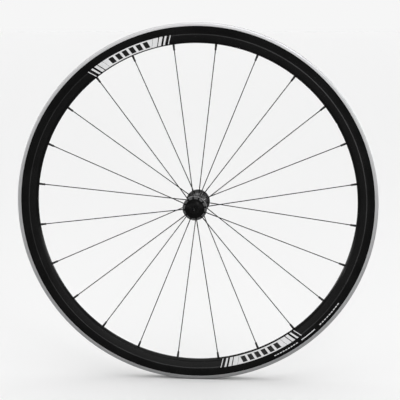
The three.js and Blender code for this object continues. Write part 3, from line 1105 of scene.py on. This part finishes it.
    def _skin(self, radius: float, angle: float, proud: float, side: Side) -> Point3:
        """A point over the outside of the wall.

        Args:
            radius: distance from the axle.
            angle: degrees from straight up.
            proud: height over the wall.
            side: the side of the wheel.

        Returns:
            The point in millimetres.
        """
        radii, halves = np.array(self.wall_line).T
        y = float(np.interp(radius, radii, halves))
        ahead = float(np.interp(radius + self.skin_step, radii, halves))
        behind = float(np.interp(radius - self.skin_step, radii, halves))
        slope = (ahead - behind) / (2 * self.skin_step)
        norm = math.hypot(1, slope)
        r, y = radius - proud * slope / norm, y + proud / norm
        turn = math.radians(angle)
        return (r * math.sin(turn), side.value * y, r * math.cos(turn))

    def _patch(
        self, film: Shell, side: Side, span: Point2, band: Point2, slants: Point2, proud: Point2
    ) -> None:
        """Adds a slanted patch of film on the wall.

        Args:
            film: the shell that it goes in.
            side: the side of the wheel.
            span: the patch's two ends at the outer radius, in degrees.
            band: its inner and outer radius.
            slants: how far each end leans, as arc over height.
            proud: heights of its under and upper face.
        """
        low, high = band
        lines = sorted({low, high, *(r for r, _ in self.wall_line if low < r < high)})
        middle = (low + high) / 2
        arc = math.radians(span[1] - span[0]) * middle
        columns = max(1, math.ceil(arc / self.decal.longest_face))
        points = []
        for lift in proud:
            for radius in lines:
                lean = [math.degrees((high - radius) * s / middle) for s in slants]
                ends = (span[0] + lean[0], span[1] + lean[1])
                for k in range(columns + 1):
                    angle = ends[0] + (ends[1] - ends[0]) * k / columns
                    points.append(self._skin(radius, angle, lift, side))
        wide, tall = columns + 1, len(lines)
        top = wide * tall
        faces = []
        for row in range(tall - 1):
            for k in range(columns):
                a = row * wide + k
                faces.append((a, a + wide, a + wide + 1, a + 1))
                faces.append((top + a, top + a + 1, top + a + wide + 1, top + a + wide))
        edge = [*range(wide), *(r * wide + columns for r in range(1, tall))]
        edge += [top - 1 - k for k in range(1, wide)]
        edge += [r * wide for r in range(tall - 2, 0, -1)]
        count = len(edge)
        faces += [
            (edge[k], edge[(k + 1) % count], top + edge[(k + 1) % count], top + edge[k])
            for k in range(count)
        ]
        if side is Side.RIGHT:
            faces = [tuple(reversed(face)) for face in faces]
        film.add(points, [tuple(reversed(face)) for face in faces])

    def _decals(self, side: Side, dress: dict[str, bpy.types.Material]) -> None:
        """Makes the films of one side: silver panels and bars, black blocks and fine stripes.

        Args:
            side: the side of the wheel.
            dress: the materials by name.
        """
        d = self.decal
        degrees = math.degrees(1 / ((d.low + d.high) / 2))
        blocks_lean = (d.block_slant, d.block_slant)
        silver, black = Shell(), Shell()
        lift = (-d.sunk, d.film)
        for centre in d.centres:
            half = d.half_panel * degrees
            band = (d.low, d.high)
            ends = (centre - half, centre + half)
            self._patch(silver, side, ends, band, (d.slant, -d.slant), lift)
            for sign, start in ((-1, ends[0]), (1, ends[1])):
                place = start
                for width, gap in d.bars:
                    near = place + sign * gap * degrees
                    far = near + sign * width * degrees
                    lean = -sign * d.slant
                    span = (min(near, far), max(near, far))
                    self._patch(silver, side, span, band, (lean, lean), lift)
                    place = far
            for k in range(d.blocks):
                at = centre + (k - (d.blocks - 1) / 2) * d.block_pitch * degrees
                span = (at - d.block_width / 2 * degrees, at + d.block_width / 2 * degrees)
                band = (d.low + d.block_inset, d.high - d.block_inset)
                self._patch(black, side, span, band, blocks_lean, (0.0, d.block_film))
        half = d.stripe_width / 2
        band = (d.stripe_radius - half, d.stripe_radius + half)
        stripes_lean = (d.stripe_slant, d.stripe_slant)
        self._patch(silver, side, d.stripe, band, stripes_lean, lift)
        for start, end in d.dashed:
            step = (end - start) / d.dash_count
            for k in range(d.dash_count):
                span = (start + k * step, start + (k + d.dash_share) * step)
                self._patch(silver, side, span, band, stripes_lean, lift)
        for name, shell, finish in (
            ("decal_silver", silver, "silver_film"),
            ("decal_blocks", black, "black_film"),
        ):
            mesh = shell.mesh(f"{name}_{side.word}", sharp=30)
            set_down(mesh.name, mesh, dress[finish], Body.WHEEL)

    def _tape(self, material: bpy.types.Material) -> None:
        """Makes the woven tape over the access holes, with the valve's hole.

        Args:
            material: its finish.
        """
        inner = self.well + self.tape_clearance
        outer = inner + self.tape_thickness
        half = self.well_half - self.tape_clearance
        corners = [
            (inner, -half, 0.2),
            (outer, -half, 0.25),
            (outer + 0.05, 0.0, 2.0),
            (outer, half, 0.25),
            (inner, half, 0.2),
        ]
        ring = Shell()
        ring.turn(eased(corners, 5), self.segments)
        hole = Shell()
        self._bore_valve(hole, inner - 2, outer + 2)
        mesh = drilled(ring.mesh("rim_tape_woven"), hole, sharp=40)
        set_down(mesh.name, mesh, material, Body.WHEEL, ["rim_tape"])


# ---------------------------------------------------------------- spokes and nipples


@dataclass
class Lacing:
    """24 radial spokes with their nipples, every second one to the left flange."""

    count: int = 24
    first_angle: float = 6.95
    nose: float = Rim.nose
    circle: float = 18.5
    flange_outer: float = FLANGE_OUTER
    elbow_centre: float = 36.3
    elbow_bend: float = 1.6
    end_radius: float = 0.9
    middle_radius: float = 0.8
    elbow_radius: float = 1.0
    head_height: float = 1.1
    butt: float = 12.0
    taper: float = 8.0
    taper_steps: int = 6
    swell_share: float = 0.9
    in_nipple: float = 12.0
    nipple_length: float = 16.0
    nipple_radius: float = 2.0
    nipple_flat: float = 1.72
    head_lip: float = 0.8
    head_tall: float = 2.4
    seat_gap: float = 0.6
    floor: float = Rim.floor
    loose: float = 0.3
    well_inner: float = Rim.well - Rim.wall
    bead_seat: float = Rim.bead_seat
    access_play: float = 1.2
    flange_thickness: float = 2.6
    countersink: float = 0.75
    hole_sides: int = 20
    thread_turns: int = 20
    thread_pitch: float = 0.23
    thread_crest: float = 0.03
    thread_root: float = -0.07
    thread_length: float = 14.2
    flat_length: float = 5.6
    flat_run_out: float = 0.8
    sides: int = 16
    tilt: float = field(init=False)
    elbow_end: Vector = field(init=False)
    seat: float = field(init=False)
    nipple_top: float = field(init=False)
    nipple_foot: float = field(init=False)
    spoke_top: float = field(init=False)

    DOME: ClassVar[tuple[Point2, ...]] = (
        (0.0, 0.35), (0.06, 0.9), (0.2, 1.35), (0.42, 1.68),
        (0.66, 1.8), (0.86, 1.72), (1.0, 1.35), (1.12, 1.0),
    )

    def __post_init__(self) -> None:
        """Works out a left spoke's line, from its elbow's end to the middle of the rim."""
        self.tilt = math.atan2(
            self.elbow_centre - self.elbow_bend, self.nose - self.circle - self.elbow_bend
        )
        self.elbow_end = Vector((
            self.circle + self.elbow_bend * (1 - math.sin(self.tilt)),
            self.elbow_centre - self.elbow_bend * math.cos(self.tilt),
            0.0,
        ))
        reach = self.nose + self.floor + self.seat_gap - self.elbow_end.x
        self.seat = reach / math.cos(self.tilt)
        self.nipple_top = self.seat + self.head_tall
        self.nipple_foot = self.nipple_top - self.nipple_length
        self.spoke_top = self.nipple_foot + self.in_nipple

    def place(self, i: int) -> Matrix:
        """The turn that takes the plane of a left spoke, radial along +X, to spoke i.

        Args:
            i: the spoke's number, from 0.

        Returns:
            The turn, which puts every second spoke on the right.
        """
        angle = math.radians(self.first_angle + 360 / self.count * i)
        flip = 0 if i % 2 == 0 else math.pi
        about = Matrix.Rotation(angle - math.pi / 2, 4, "Y")
        return about @ Matrix.Rotation(flip, 4, "X")

    def line(self) -> Matrix:
        """Takes the X axis, from the elbow's end, on to a left spoke's line."""
        return Matrix.Translation(self.elbow_end) @ Matrix.Rotation(-self.tilt, 4, "Z")

    def rim_holes(self) -> Shell:
        """Cutters for the nipple holes and the access holes.

        Returns:
            The cutters.
        """
        holes = Shell()
        bore = self.nipple_radius + self.loose
        access = self.nipple_radius + self.head_lip + self.access_play
        for i in range(self.count):
            at = self.place(i) @ self.line()
            reach = self.seat + 2
            holes.bar(bore, self.nipple_foot, reach, self.hole_sides, at)
            holes.bar(
                access, self.well_inner - 2, self.bead_seat, self.hole_sides, self.place(i)
            )
        return holes

    def flange_holes(self) -> Shell:
        """Cutters for the spoke holes in both flanges, opened out at each face.

        Returns:
            The cutters.
        """
        holes = Shell()
        bore = self.elbow_radius + self.loose
        low, high = self.flange_outer - self.flange_thickness, self.flange_outer
        mouth = bore + self.countersink
        profile = [
            (0.02, low - 0.6), (mouth, low - 0.6), (bore, low + 0.25),
            (bore, high - 0.25), (mouth, high + 0.6), (0.02, high + 0.6),
        ]
        for i in range(self.count):
            at = self.place(i) @ Matrix.Translation((self.circle, 0, 0))
            holes.turn(profile, self.hole_sides, at)
        return holes

    def _tapered(self, start: float, length: float, first: float, last: float) -> list[Point2]:
        """An eased change of a spoke's radius.

        Args:
            start: where it starts along the spoke.
            length: how long it is.
            first: the radius before it.
            last: the radius after it.

        Returns:
            Distances along the spoke, each with its radius.
        """
        steps = self.taper_steps
        ease = [0.5 - 0.5 * math.cos(math.pi * k / steps) for k in range(1, steps + 1)]
        return [
            (start + length * k / steps, first + (last - first) * e)
            for k, e in enumerate(ease, 1)
        ]

    def _spoke(self) -> bpy.types.Mesh:
        """A left spoke in its own plane: head, elbow, butted shank and rolled thread.

        Returns:
            Its mesh.
        """
        top = self.flange_outer + self.head_height
        path = [(self.circle, top - depth, 0.0) for depth, _ in self.DOME]
        radii = [radius for _, radius in self.DOME]
        turn = math.pi / 2 - self.tilt
        for k in range(11):
            angle = turn * k / 10
            x = self.circle + self.elbow_bend * (1 - math.cos(angle))
            path.append((x, self.elbow_centre - self.elbow_bend * math.sin(angle), 0.0))
            radii.append(self.elbow_radius)
        along = self.line()
        stations = [(1.2, self.elbow_radius), (2.4, self.end_radius), (self.butt, self.end_radius)]
        stations += self._tapered(self.butt, self.taper, self.end_radius, self.middle_radius)
        thread = self.spoke_top - self.thread_length
        far = self.spoke_top - self.butt - self.taper - 3
        stations += [(s, self.middle_radius) for s in np.linspace(40, far, 8)]
        swell = self.taper * self.swell_share
        stations += self._tapered(far, swell, self.middle_radius, self.end_radius)
        for k in range(self.thread_turns):
            crest = self.end_radius + (self.thread_crest if k % 2 else self.thread_root)
            stations.append((thread + self.thread_pitch * (k + 1), crest))
        stations.append((self.spoke_top, self.end_radius - 0.05))
        for distance, radius in stations:
            path.append(tuple(along @ Vector((distance, 0, 0))))
            radii.append(radius)
        shell = Shell()
        shell.rod(path, radii, self.sides)
        return shell.mesh("spoke", sharp=42)

    def _nipple(self) -> bpy.types.Mesh:
        """A left nipple in its own plane: tapered foot, four wrench flats, round body and head.

        Returns:
            Its mesh.
        """
        bore, body = self.end_radius + self.loose, self.nipple_radius
        foot, seat, top = self.nipple_foot, self.seat, self.nipple_top
        head = body + self.head_lip
        ends = self.flat_length + self.flat_run_out

        def flats(radius: float, y: float, angle: float) -> float:
            """Cuts the round body back to four flats near its foot.

            Args:
                radius: radius of the round body.
                y: place along the nipple.
                angle: angle about the nipple.

            Returns:
                The radius that is left.
            """
            along = y - foot
            if radius < body - 0.35 or along > ends:
                return radius
            share = 1.0 if along < self.flat_length else (ends - along) / self.flat_run_out
            square = self.nipple_flat / max(abs(math.cos(angle)), abs(math.sin(angle)))
            return radius + (min(radius, square) - radius) * share

        corners = [
            (bore, foot + 0.9, 0.3), (bore + 0.25, foot, 0.2), (body - 0.42, foot, 0.2),
            (body, foot + 0.7, 0.3), (body, foot + self.flat_length, 0.0),
            (body, foot + self.flat_length + self.flat_run_out / 2, 0.0),
            (body, foot + ends, 0.0), (body, seat - 0.4, 0.0), (head, seat + 0.3, 0.3),
            (head, seat + 0.8, 0.4), (body - 0.2, top, 0.5), (bore, top, 0.2),
        ]
        shell = Shell()
        lean = self.line() @ Matrix.Rotation(-math.pi / 2, 4, "Z")
        shell.turn(eased(corners, 3), 24, lean, flats)
        return shell.mesh("nipple", sharp=35)

    def build(self, dress: dict[str, bpy.types.Material]) -> None:
        """Makes every spoke and nipple, turned to its place.

        Args:
            dress: the materials by name.
        """
        spoke, nipple = self._spoke(), self._nipple()
        for i in range(self.count):
            number, at = f"{i + 1:02d}", self.place(i)
            set_down(f"butted_spoke_{number}", spoke, dress["black_spoke"], Body.WHEEL,
                     [f"spoke_{number}"], at)
            set_down(f"flatted_nipple_{number}", nipple, dress["black_nipple"], Body.WHEEL,
                     [f"nipple_{number}"], at)


# ---------------------------------------------------------------- hub


@dataclass
class HubShell:
    """The hub shell: waisted barrel, drilled flanges and a housing for each bearing."""

    barrel: float = 12.3
    bore: float = 10.1
    flare_start: float = 27.6
    housing: float = 16.2
    housing_start: float = 33.6
    flange_inner: float = 36.6
    flange_outer: float = FLANGE_OUTER
    flange_radius: float = 21.4
    rim_radius: float = 16.6
    rim_end: float = 44.5
    recess: float = 15.6
    pocket: float = 14.05
    bearing_outer: float = 42.35
    bearing_inner: float = 34.25
    barrel_end: float = 18.0
    flare_run_in: float = 3.0
    flare_steps: int = 12
    edge_crown: float = 0.25
    black_from: float = 0.3
    flange_highlight_from: float = -0.65
    segments: int = 120

    def _finish_at(self, radius: float, out: float) -> int:
        """Numbers a face's finish: 0 the shell, 1 the bearing's rim, 2 the flange's face, whose
        lighter metal is a painted highlight.

        Args:
            radius: the face's distance from the axle.
            out: its distance from the wheel's middle.

        Returns:
            The number.
        """
        past = out - self.flange_outer
        if past > self.black_from and radius < self.rim_radius + 1:
            return 1
        return 2 if past > self.flange_highlight_from and radius > self.rim_radius else 0

    def build(self, lacing: Lacing, dress: dict[str, bpy.types.Material]) -> None:
        """Makes the shell with its spoke holes.

        Args:
            lacing: the spokes, which say where the flanges are drilled.
            dress: the materials by name.
        """
        flare = []
        start = self.flare_start - self.flare_run_in
        for k in range(self.flare_steps + 1):
            t = k / self.flare_steps
            ease = t * t * (3 - 2 * t)
            y = start + (self.housing_start - start) * t
            flare.append((self.barrel + (self.housing - self.barrel) * ease, y, 0.0))
        half = [
            (self.barrel, 0.0, 0.0),
            (self.barrel, self.barrel_end, 0.0),
            *flare,
            (self.housing, self.flange_inner, 1.2),
            (self.flange_radius - self.edge_crown, self.flange_inner, 0.7),
            (self.flange_radius, (self.flange_inner + self.flange_outer) / 2, 0.9),
            (self.flange_radius - self.edge_crown, self.flange_outer, 0.7),
            (self.rim_radius + 0.45, self.flange_outer - 0.1, 0.5),
            (self.rim_radius, self.flange_outer + 0.6, 0.4),
            (self.rim_radius, self.rim_end, 0.35),
            (self.recess, self.rim_end, 0.2),
            (self.recess, self.bearing_outer, 0.1),
            (self.pocket, self.bearing_outer, 0.1),
            (self.pocket, self.bearing_inner, 0.1),
            (self.bore, self.bearing_inner, 0.2),
            (self.bore, 0.0, 0.0),
        ]
        right = [(radius, -y, ease) for radius, y, ease in reversed(half[1:-1])]
        shell = Shell()
        shell.turn(eased([*right, *half], 4), self.segments)
        mesh = drilled(shell.mesh("hub_body"), lacing.flange_holes(), sharp=30)
        # The flange's outer face takes a lighter metal finish: a painted highlight on the flange.
        painted(
            mesh,
            (dress["turned_black"], dress["moulded_cap"], dress["flange_face_painted_highlight"]),
            self._finish_at,
        )
        set_down("hub_body", mesh, dress["turned_black"], Body.WHEEL, ["hub_shell"])


@dataclass
class AxleTube:
    """The hollow axle that the skewer goes through."""

    bore: float = 3.0
    shoulder: float = 7.5
    shoulder_end: float = 34.25
    seat: float = 5.95
    seat_end: float = 42.3
    spigot: float = 4.8
    end: float = 46.3
    segments: int = 72

    def build(self, dress: dict[str, bpy.types.Material]) -> None:
        """Makes the tube.

        Args:
            dress: the materials by name.
        """
        half = [
            (self.shoulder, self.shoulder_end, 0.4),
            (self.seat, self.shoulder_end, 0.0),
            (self.seat, self.seat_end, 0.3),
            (self.spigot, self.seat_end, 0.0),
            (self.spigot, self.end, 0.5),
            (self.bore, self.end, 0.4),
        ]
        shell = Shell()
        shell.turn(eased(both_sides(half), 3), self.segments)
        mesh = shell.mesh("axle_tube", sharp=35)
        set_down("axle_tube", mesh, dress["turned_axle"], Body.AXLE, ["axle"])


@dataclass
class EndCap:
    """The cap on one end of the axle: shield, ribbed fork face, and the stub for the dropout."""

    inner: float = 42.35
    socket: float = 4.85
    socket_floor: float = 46.35
    body: float = 8.5
    shield: float = 15.0
    shield_inner: float = 42.9
    shield_outer: float = 44.2
    cone_end: float = 46.4
    face: float = 50.0
    stub: float = 4.5
    stub_end: float = 54.5
    bore: float = 2.7
    dome_steps: int = 8
    dome_swell: float = 0.35
    dome_edge: float = 0.25
    ribs: int = 36
    rib_depth: float = 0.18
    segments: int = 144

    def build(self, side: Side, dress: dict[str, bpy.types.Material]) -> None:
        """Makes the cap of one side.

        Args:
            side: the side of the wheel.
            dress: the materials by name.
        """
        dome = []
        rim = self.shield - self.dome_edge
        for k in range(1, self.dome_steps):
            t = k / self.dome_steps
            flat = self.shield_outer + (self.cone_end - self.shield_outer) * t
            swell = self.dome_swell * math.sin(math.pi * t)
            dome.append((rim + (self.body - rim) * t, flat + swell, 0.0))
        corners = [
            (self.socket, self.inner, 0.15), (self.body, self.inner, 0.2),
            (self.body, self.shield_inner, 0.0), (self.shield, self.shield_inner, 0.25),
            (self.shield, self.shield_outer - 0.1, 0.35), *dome, (self.body, self.cone_end, 0.3),
            (self.body, self.cone_end + 1.1, 0.12), (self.body - 0.3, self.cone_end + 1.3, 0.1),
            (self.body - 0.3, self.cone_end + 1.7, 0.1), (self.body, self.cone_end + 1.9, 0.12),
            (self.body, self.face - 0.5, 0.25), (self.body - 0.5, self.face, 0.2),
            (self.stub + 0.4, self.face, 0.2), (self.stub, self.face - 0.25, 0.1),
            (self.stub, self.stub_end - 0.6, 0.2), (self.stub - 0.6, self.stub_end, 0.2),
            (self.bore + 0.3, self.stub_end, 0.15), (self.bore, self.stub_end - 0.4, 0.15),
            (self.bore, self.socket_floor, 0.1), (self.socket, self.socket_floor, 0.1),
        ]
        profile = eased([(r, side.value * y, e) for r, y, e in corners], 3)
        shell = Shell()
        shell.turn(profile, self.segments)
        shell.points = [self._ribbed(point) for point in shell.points]
        mesh = shell.mesh(f"shield_cap_{side.word}", sharp=30)
        set_down(mesh.name, mesh, dress["moulded_cap"], Body.AXLE,
                 [f"end_cap_{side.word}"])

    def _ribbed(self, point: Sequence[float]) -> Point3:
        """Sinks the grooves between the ribs of the fork face.

        Args:
            point: a point of the cap.

        Returns:
            The point, moved in where it lies in a groove.
        """
        x, y, z = point
        radius = math.hypot(x, z)
        if abs(abs(y) - self.face) > 0.02 or not self.stub + 0.1 < radius < self.body - 0.1:
            return (x, y, z)
        turn = round(math.atan2(x, z) / TAU * self.segments)
        sunk = self.rib_depth if turn % (self.segments // self.ribs) < 2 else 0.0
        return (x, math.copysign(abs(y) - sunk, y), z)


@dataclass
class Bearing:
    """A ball bearing: outer ring, inner ring, and balls in a cage that swells round them."""

    middle: float = 38.3
    half: float = 4.0
    outer: float = 14.0
    bore: float = 6.0
    circle: float = 10.0
    ball: float = 2.38
    gap: float = 0.25
    balls: int = 8
    ball_rings: int = 12
    ball_sides: int = 20
    shoulder_share: float = 0.9
    groove_steps: int = 8
    groove_span: Point2 = (0.3, 0.7)
    cage_half_thick: float = 0.4
    cage_half_wide: float = 0.7
    cage_swell: float = 0.45
    segments: int = 96

    def build(self, side: Side, dress: dict[str, bpy.types.Material]) -> None:
        """Makes the bearing of one side.

        Args:
            side: the side of the wheel.
            dress: the materials by name.
        """
        self._ring(side, 1, self.outer, "bearing_race_outer", "bearing_outer_ring",
                   Body.WHEEL, dress)
        self._ring(side, -1, self.bore, "bearing_race_inner", "bearing_inner_ring",
                   Body.AXLE, dress)
        shell = Shell()
        y = side.value * self.middle

        def bulged(radius: float, height: float, angle: float) -> float:
            """The cage's radius at an angle about the axle, swollen out round each ball."""
            near = max(0.0, math.cos(angle * self.balls))
            return radius + math.copysign(self.cage_swell * near, radius - self.circle)

        thick, wide = self.cage_half_thick, self.cage_half_wide
        cage = [
            (self.circle + thick, y - wide, 0.15), (self.circle + thick, y + wide, 0.15),
            (self.circle - thick, y + wide, 0.15), (self.circle - thick, y - wide, 0.15),
        ]
        shell.turn(eased(cage, 2), self.segments, radius_at=bulged)
        for k in range(self.balls):
            angle = TAU * k / self.balls
            centre = (self.circle * math.sin(angle), y, self.circle * math.cos(angle))
            shell.ball(centre, self.ball, self.ball_rings, self.ball_sides)
        mesh = shell.mesh(f"caged_balls_{side.word}", sharp=35)
        set_down(mesh.name, mesh, dress["polished_ball"], Body.BALLS,
                 [f"bearing_balls_{side.word}"])

    def _ring(
        self, side: Side, sign: int, seat: float, name: str, node: str, body: Body,
        dress: dict[str, bpy.types.Material],
    ) -> None:
        """Makes one ring, with its ball groove on the side away from its seat.

        Args:
            side: the side of the wheel.
            sign: 1 for the outer ring, -1 for the inner ring.
            seat: radius of the face that fits the housing or the axle.
            name: the piece's name, less its side.
            node: the CAD node's name, less its side.
            body: the body that it rides on.
            dress: the materials by name.
        """
        shoulder = self.circle + sign * (self.ball * self.shoulder_share + self.gap)
        groove = []
        start, end = self.groove_span
        reach = self.ball + self.gap
        for k in range(self.groove_steps + 1):
            turn = math.pi * (start + (end - start) * k / self.groove_steps)
            groove.append((self.circle + sign * reach * math.sin(turn),
                           reach * math.cos(turn), 0.0))
        corners = [
            (seat, -self.half, 0.4), (shoulder, -self.half, 0.25),
            *reversed(groove), (shoulder, self.half, 0.25), (seat, self.half, 0.4),
        ]
        shell = Shell()
        profile = eased([(r, side.value * self.middle + y, e) for r, y, e in corners], 3)
        shell.turn(profile, self.segments)
        mesh = shell.mesh(f"{name}_{side.word}", sharp=35)
        set_down(mesh.name, mesh, dress["ground_steel"], body,
                 [f"{node}_{side.word}"])


# ---------------------------------------------------------------- studio


@dataclass(frozen=True)
class SoftBox:
    """A lamp with a flat glowing face that is turned to the wheel."""

    name: str
    at: Point3
    wide: float
    tall: float
    power: float

    def hang(self) -> None:
        """Puts the lamp in the scene, where the camera doesn't see it."""
        light = bpy.data.lights.new(self.name, "AREA")
        light.shape, light.energy = "RECTANGLE", self.power
        light.size, light.size_y = self.wide * MM, self.tall * MM
        lamp = linked(self.name, light)
        lamp.location = Vector(self.at) * MM
        lamp.rotation_euler = (-Vector(self.at)).to_track_quat("-Z", "Y").to_euler()
        lamp.visible_camera = False


@dataclass
class Studio:
    """Pale floor, soft light and the camera.

    The room's light is given by height: each stop has a place, from 0 straight down to 1
    straight up, and a strength.
    """

    eye: Point3 = (144.93, -1857.87, 320.14)
    aim: Point3 = (6.25, 0.0, 8.25)
    lens: float = 96.57
    floor_level: float = -317.4
    floor_rings: tuple[float, ...] = (350.0, 900.0, 2500.0, 8000.0, 60000.0)
    floor_sides: int = 96
    floor_tones: Point2 = (0.89, 0.91)
    floor_mottle: float = 3.0
    front: tuple[Point2, ...] = (
        (0.0, 0.3), (0.26, 0.25), (0.33, 0.06), (0.375, 0.3), (0.42, 0.95),
        (0.5, 1.5), (0.58, 1.2), (0.68, 0.2), (0.84, 0.3), (0.95, 1.4),
    )
    rear: tuple[Point2, ...] = (
        (0.0, 0.3), (0.5, 0.6), (0.55, 3.4), (0.61, 3.4), (0.69, 0.7), (0.84, 0.7), (0.95, 1.2),
    )
    behind_blend: Point2 = (1.6, 0.5)
    boxes: tuple[SoftBox, ...] = (
        SoftBox("high_soft_box", (-300, 350, 2300), 900, 700, 2.0),
        SoftBox("side_soft_box", (2200, -1500, 900), 700, 1500, 4.0),
        SoftBox("front_soft_box", (350, -1250, 600), 300, 300, 2.0),
        SoftBox("low_soft_box", (-5, -1240, -150), 170, 110, 0.1),
    )
    sun: float = 0.1
    sun_spread: float = 70.0
    sun_tilt: Point2 = (18.0, -12.0)
    backdrop: float = 0.922
    floor_shade_in_reflections: float = 0.22

    def build(self) -> None:
        """Sets the stage."""
        self._floor()
        self._sky()
        for box in self.boxes:
            box.hang()
        self._broad_light()
        self._camera()
        bpy.context.scene.view_settings.view_transform = "Standard"

    def _broad_light(self) -> None:
        """Adds a weak light with a wide disc, which gives the floor its soft shadow."""
        sun = bpy.data.lights.new("broad_light", "SUN")
        sun.energy, sun.angle = self.sun, math.radians(self.sun_spread)
        linked("broad_light", sun).rotation_euler = (*map(math.radians, self.sun_tilt), 0)

    def _camera(self) -> None:
        """Sets up the camera."""
        camera = bpy.data.cameras.new("camera")
        camera.lens, camera.clip_end = self.lens, 200.0
        eye = linked("camera", camera)
        eye.location = Vector(self.eye) * MM
        way = Vector(self.aim) - Vector(self.eye)
        eye.rotation_euler = way.to_track_quat("-Z", "Y").to_euler()
        bpy.context.scene.camera = eye

    def _floor(self) -> None:
        """Lays a round pale floor that runs out of sight."""
        sides = self.floor_sides
        points: list[Point3] = [(0.0, 0.0, self.floor_level)]
        for reach in self.floor_rings:
            for k in range(sides):
                turn = TAU * k / sides
                points.append((reach * math.cos(turn), reach * math.sin(turn), self.floor_level))
        faces: list[tuple[int, ...]] = [(0, 1 + k, 1 + (k + 1) % sides) for k in range(sides)]
        for ring in range(len(self.floor_rings) - 1):
            faces += banded(1 + ring * sides, 1 + (ring + 1) * sides, sides)
        shell = Shell()
        shell.add(points, faces)
        mesh = shell.mesh("pale_floor")
        mesh.materials.append(self._floor_finish())
        linked("pale_floor", mesh)

    def _floor_finish(self) -> bpy.types.Material:
        """The floor's matt paint, with a painted darker shade that only glossy rays see, so the
        floor looks darker in the wheel's reflections than to the camera.
        """
        material = bpy.data.materials.new("pale_floor")
        material.use_nodes = True
        tree = material.node_tree
        shader = tree.nodes["Principled BSDF"]
        shader.inputs["Roughness"].default_value = 0.9
        shader.inputs["Specular IOR Level"].default_value = 0.1
        noise = tree.nodes.new("ShaderNodeTexNoise")
        noise.inputs["Scale"].default_value = self.floor_mottle
        ramp = tree.nodes.new("ShaderNodeValToRGB")
        for stop, shade in zip(ramp.color_ramp.elements, self.floor_tones):
            stop.color = (shade, shade, shade, 1.0)
        tree.links.new(noise.outputs[0], ramp.inputs[0])
        # Glossy rays see the floor painted darker: a painted shade in the wheel's reflections of
        # the floor.
        mirrored = tree.nodes.new("ShaderNodeLightPath").outputs["Is Glossy Ray"]
        tone = Finish.blended(tree, mirrored, ramp.outputs[0], self.floor_shade_in_reflections)
        tree.links.new(tone, shader.inputs["Base Color"])
        return material

    def _sky(self) -> None:
        """Fills the room with soft light: brighter above and behind, dimmer in front."""
        world = bpy.data.worlds.new("soft_room")
        bpy.context.scene.world = world
        world.use_nodes = True
        tree = world.node_tree
        back = tree.nodes["Background"]
        back.inputs["Color"].default_value = (1.0, 1.0, 1.0, 1.0)
        where = tree.nodes.new("ShaderNodeTexCoord")
        split = tree.nodes.new("ShaderNodeSeparateXYZ")
        tree.links.new(where.outputs["Generated"], split.inputs[0])
        ramps = []
        for stops in (self.front, self.rear):
            ramp = tree.nodes.new("ShaderNodeValToRGB")
            ramp.color_ramp.interpolation = "EASE"
            marks = ramp.color_ramp.elements
            marks[0].position, marks[1].position = stops[0][0], stops[-1][0]
            for place, _ in stops[1:-1]:
                marks.new(place)
            for mark, (_, shade) in zip(marks, stops):
                mark.color = (shade, shade, shade, 1.0)
            height = Effects.reckon(tree, "MULTIPLY_ADD", split.outputs["Z"], 0.5, 0.5)
            tree.links.new(height, ramp.inputs[0])
            ramps.append(ramp.outputs[0])
        behind = Effects.reckon(
            tree, "MULTIPLY_ADD", split.outputs["Y"], *self.behind_blend, clamp=True
        )
        total = tree.nodes.new("ShaderNodeMix")
        tree.links.new(behind, total.inputs[0])
        tree.links.new(ramps[0], total.inputs[2])
        tree.links.new(ramps[1], total.inputs[3])
        path = tree.nodes.new("ShaderNodeLightPath")
        seen = tree.nodes.new("ShaderNodeMix")
        seen.inputs[3].default_value = self.backdrop
        tree.links.new(path.outputs["Is Camera Ray"], seen.inputs[0])
        tree.links.new(total.outputs[0], seen.inputs[2])
        tree.links.new(seen.outputs[0], back.inputs["Strength"])


def main() -> None:
    """Builds the wheel piece by piece, then the studio."""
    logging.basicConfig(level=logging.INFO, format="%(name)s: %(message)s")
    effects = Effects()
    dress = {name: finish.build(effects) for name, finish in FINISHES.items()}
    lacing = Lacing()
    Rim().build(lacing, dress)
    lacing.build(dress)
    HubShell().build(lacing, dress)
    AxleTube().build(dress)
    for side in Side:
        Bearing().build(side, dress)
        EndCap().build(side, dress)
    Studio().build()
    bpy.context.view_layer.update()


if __name__ == "__main__":
    main()
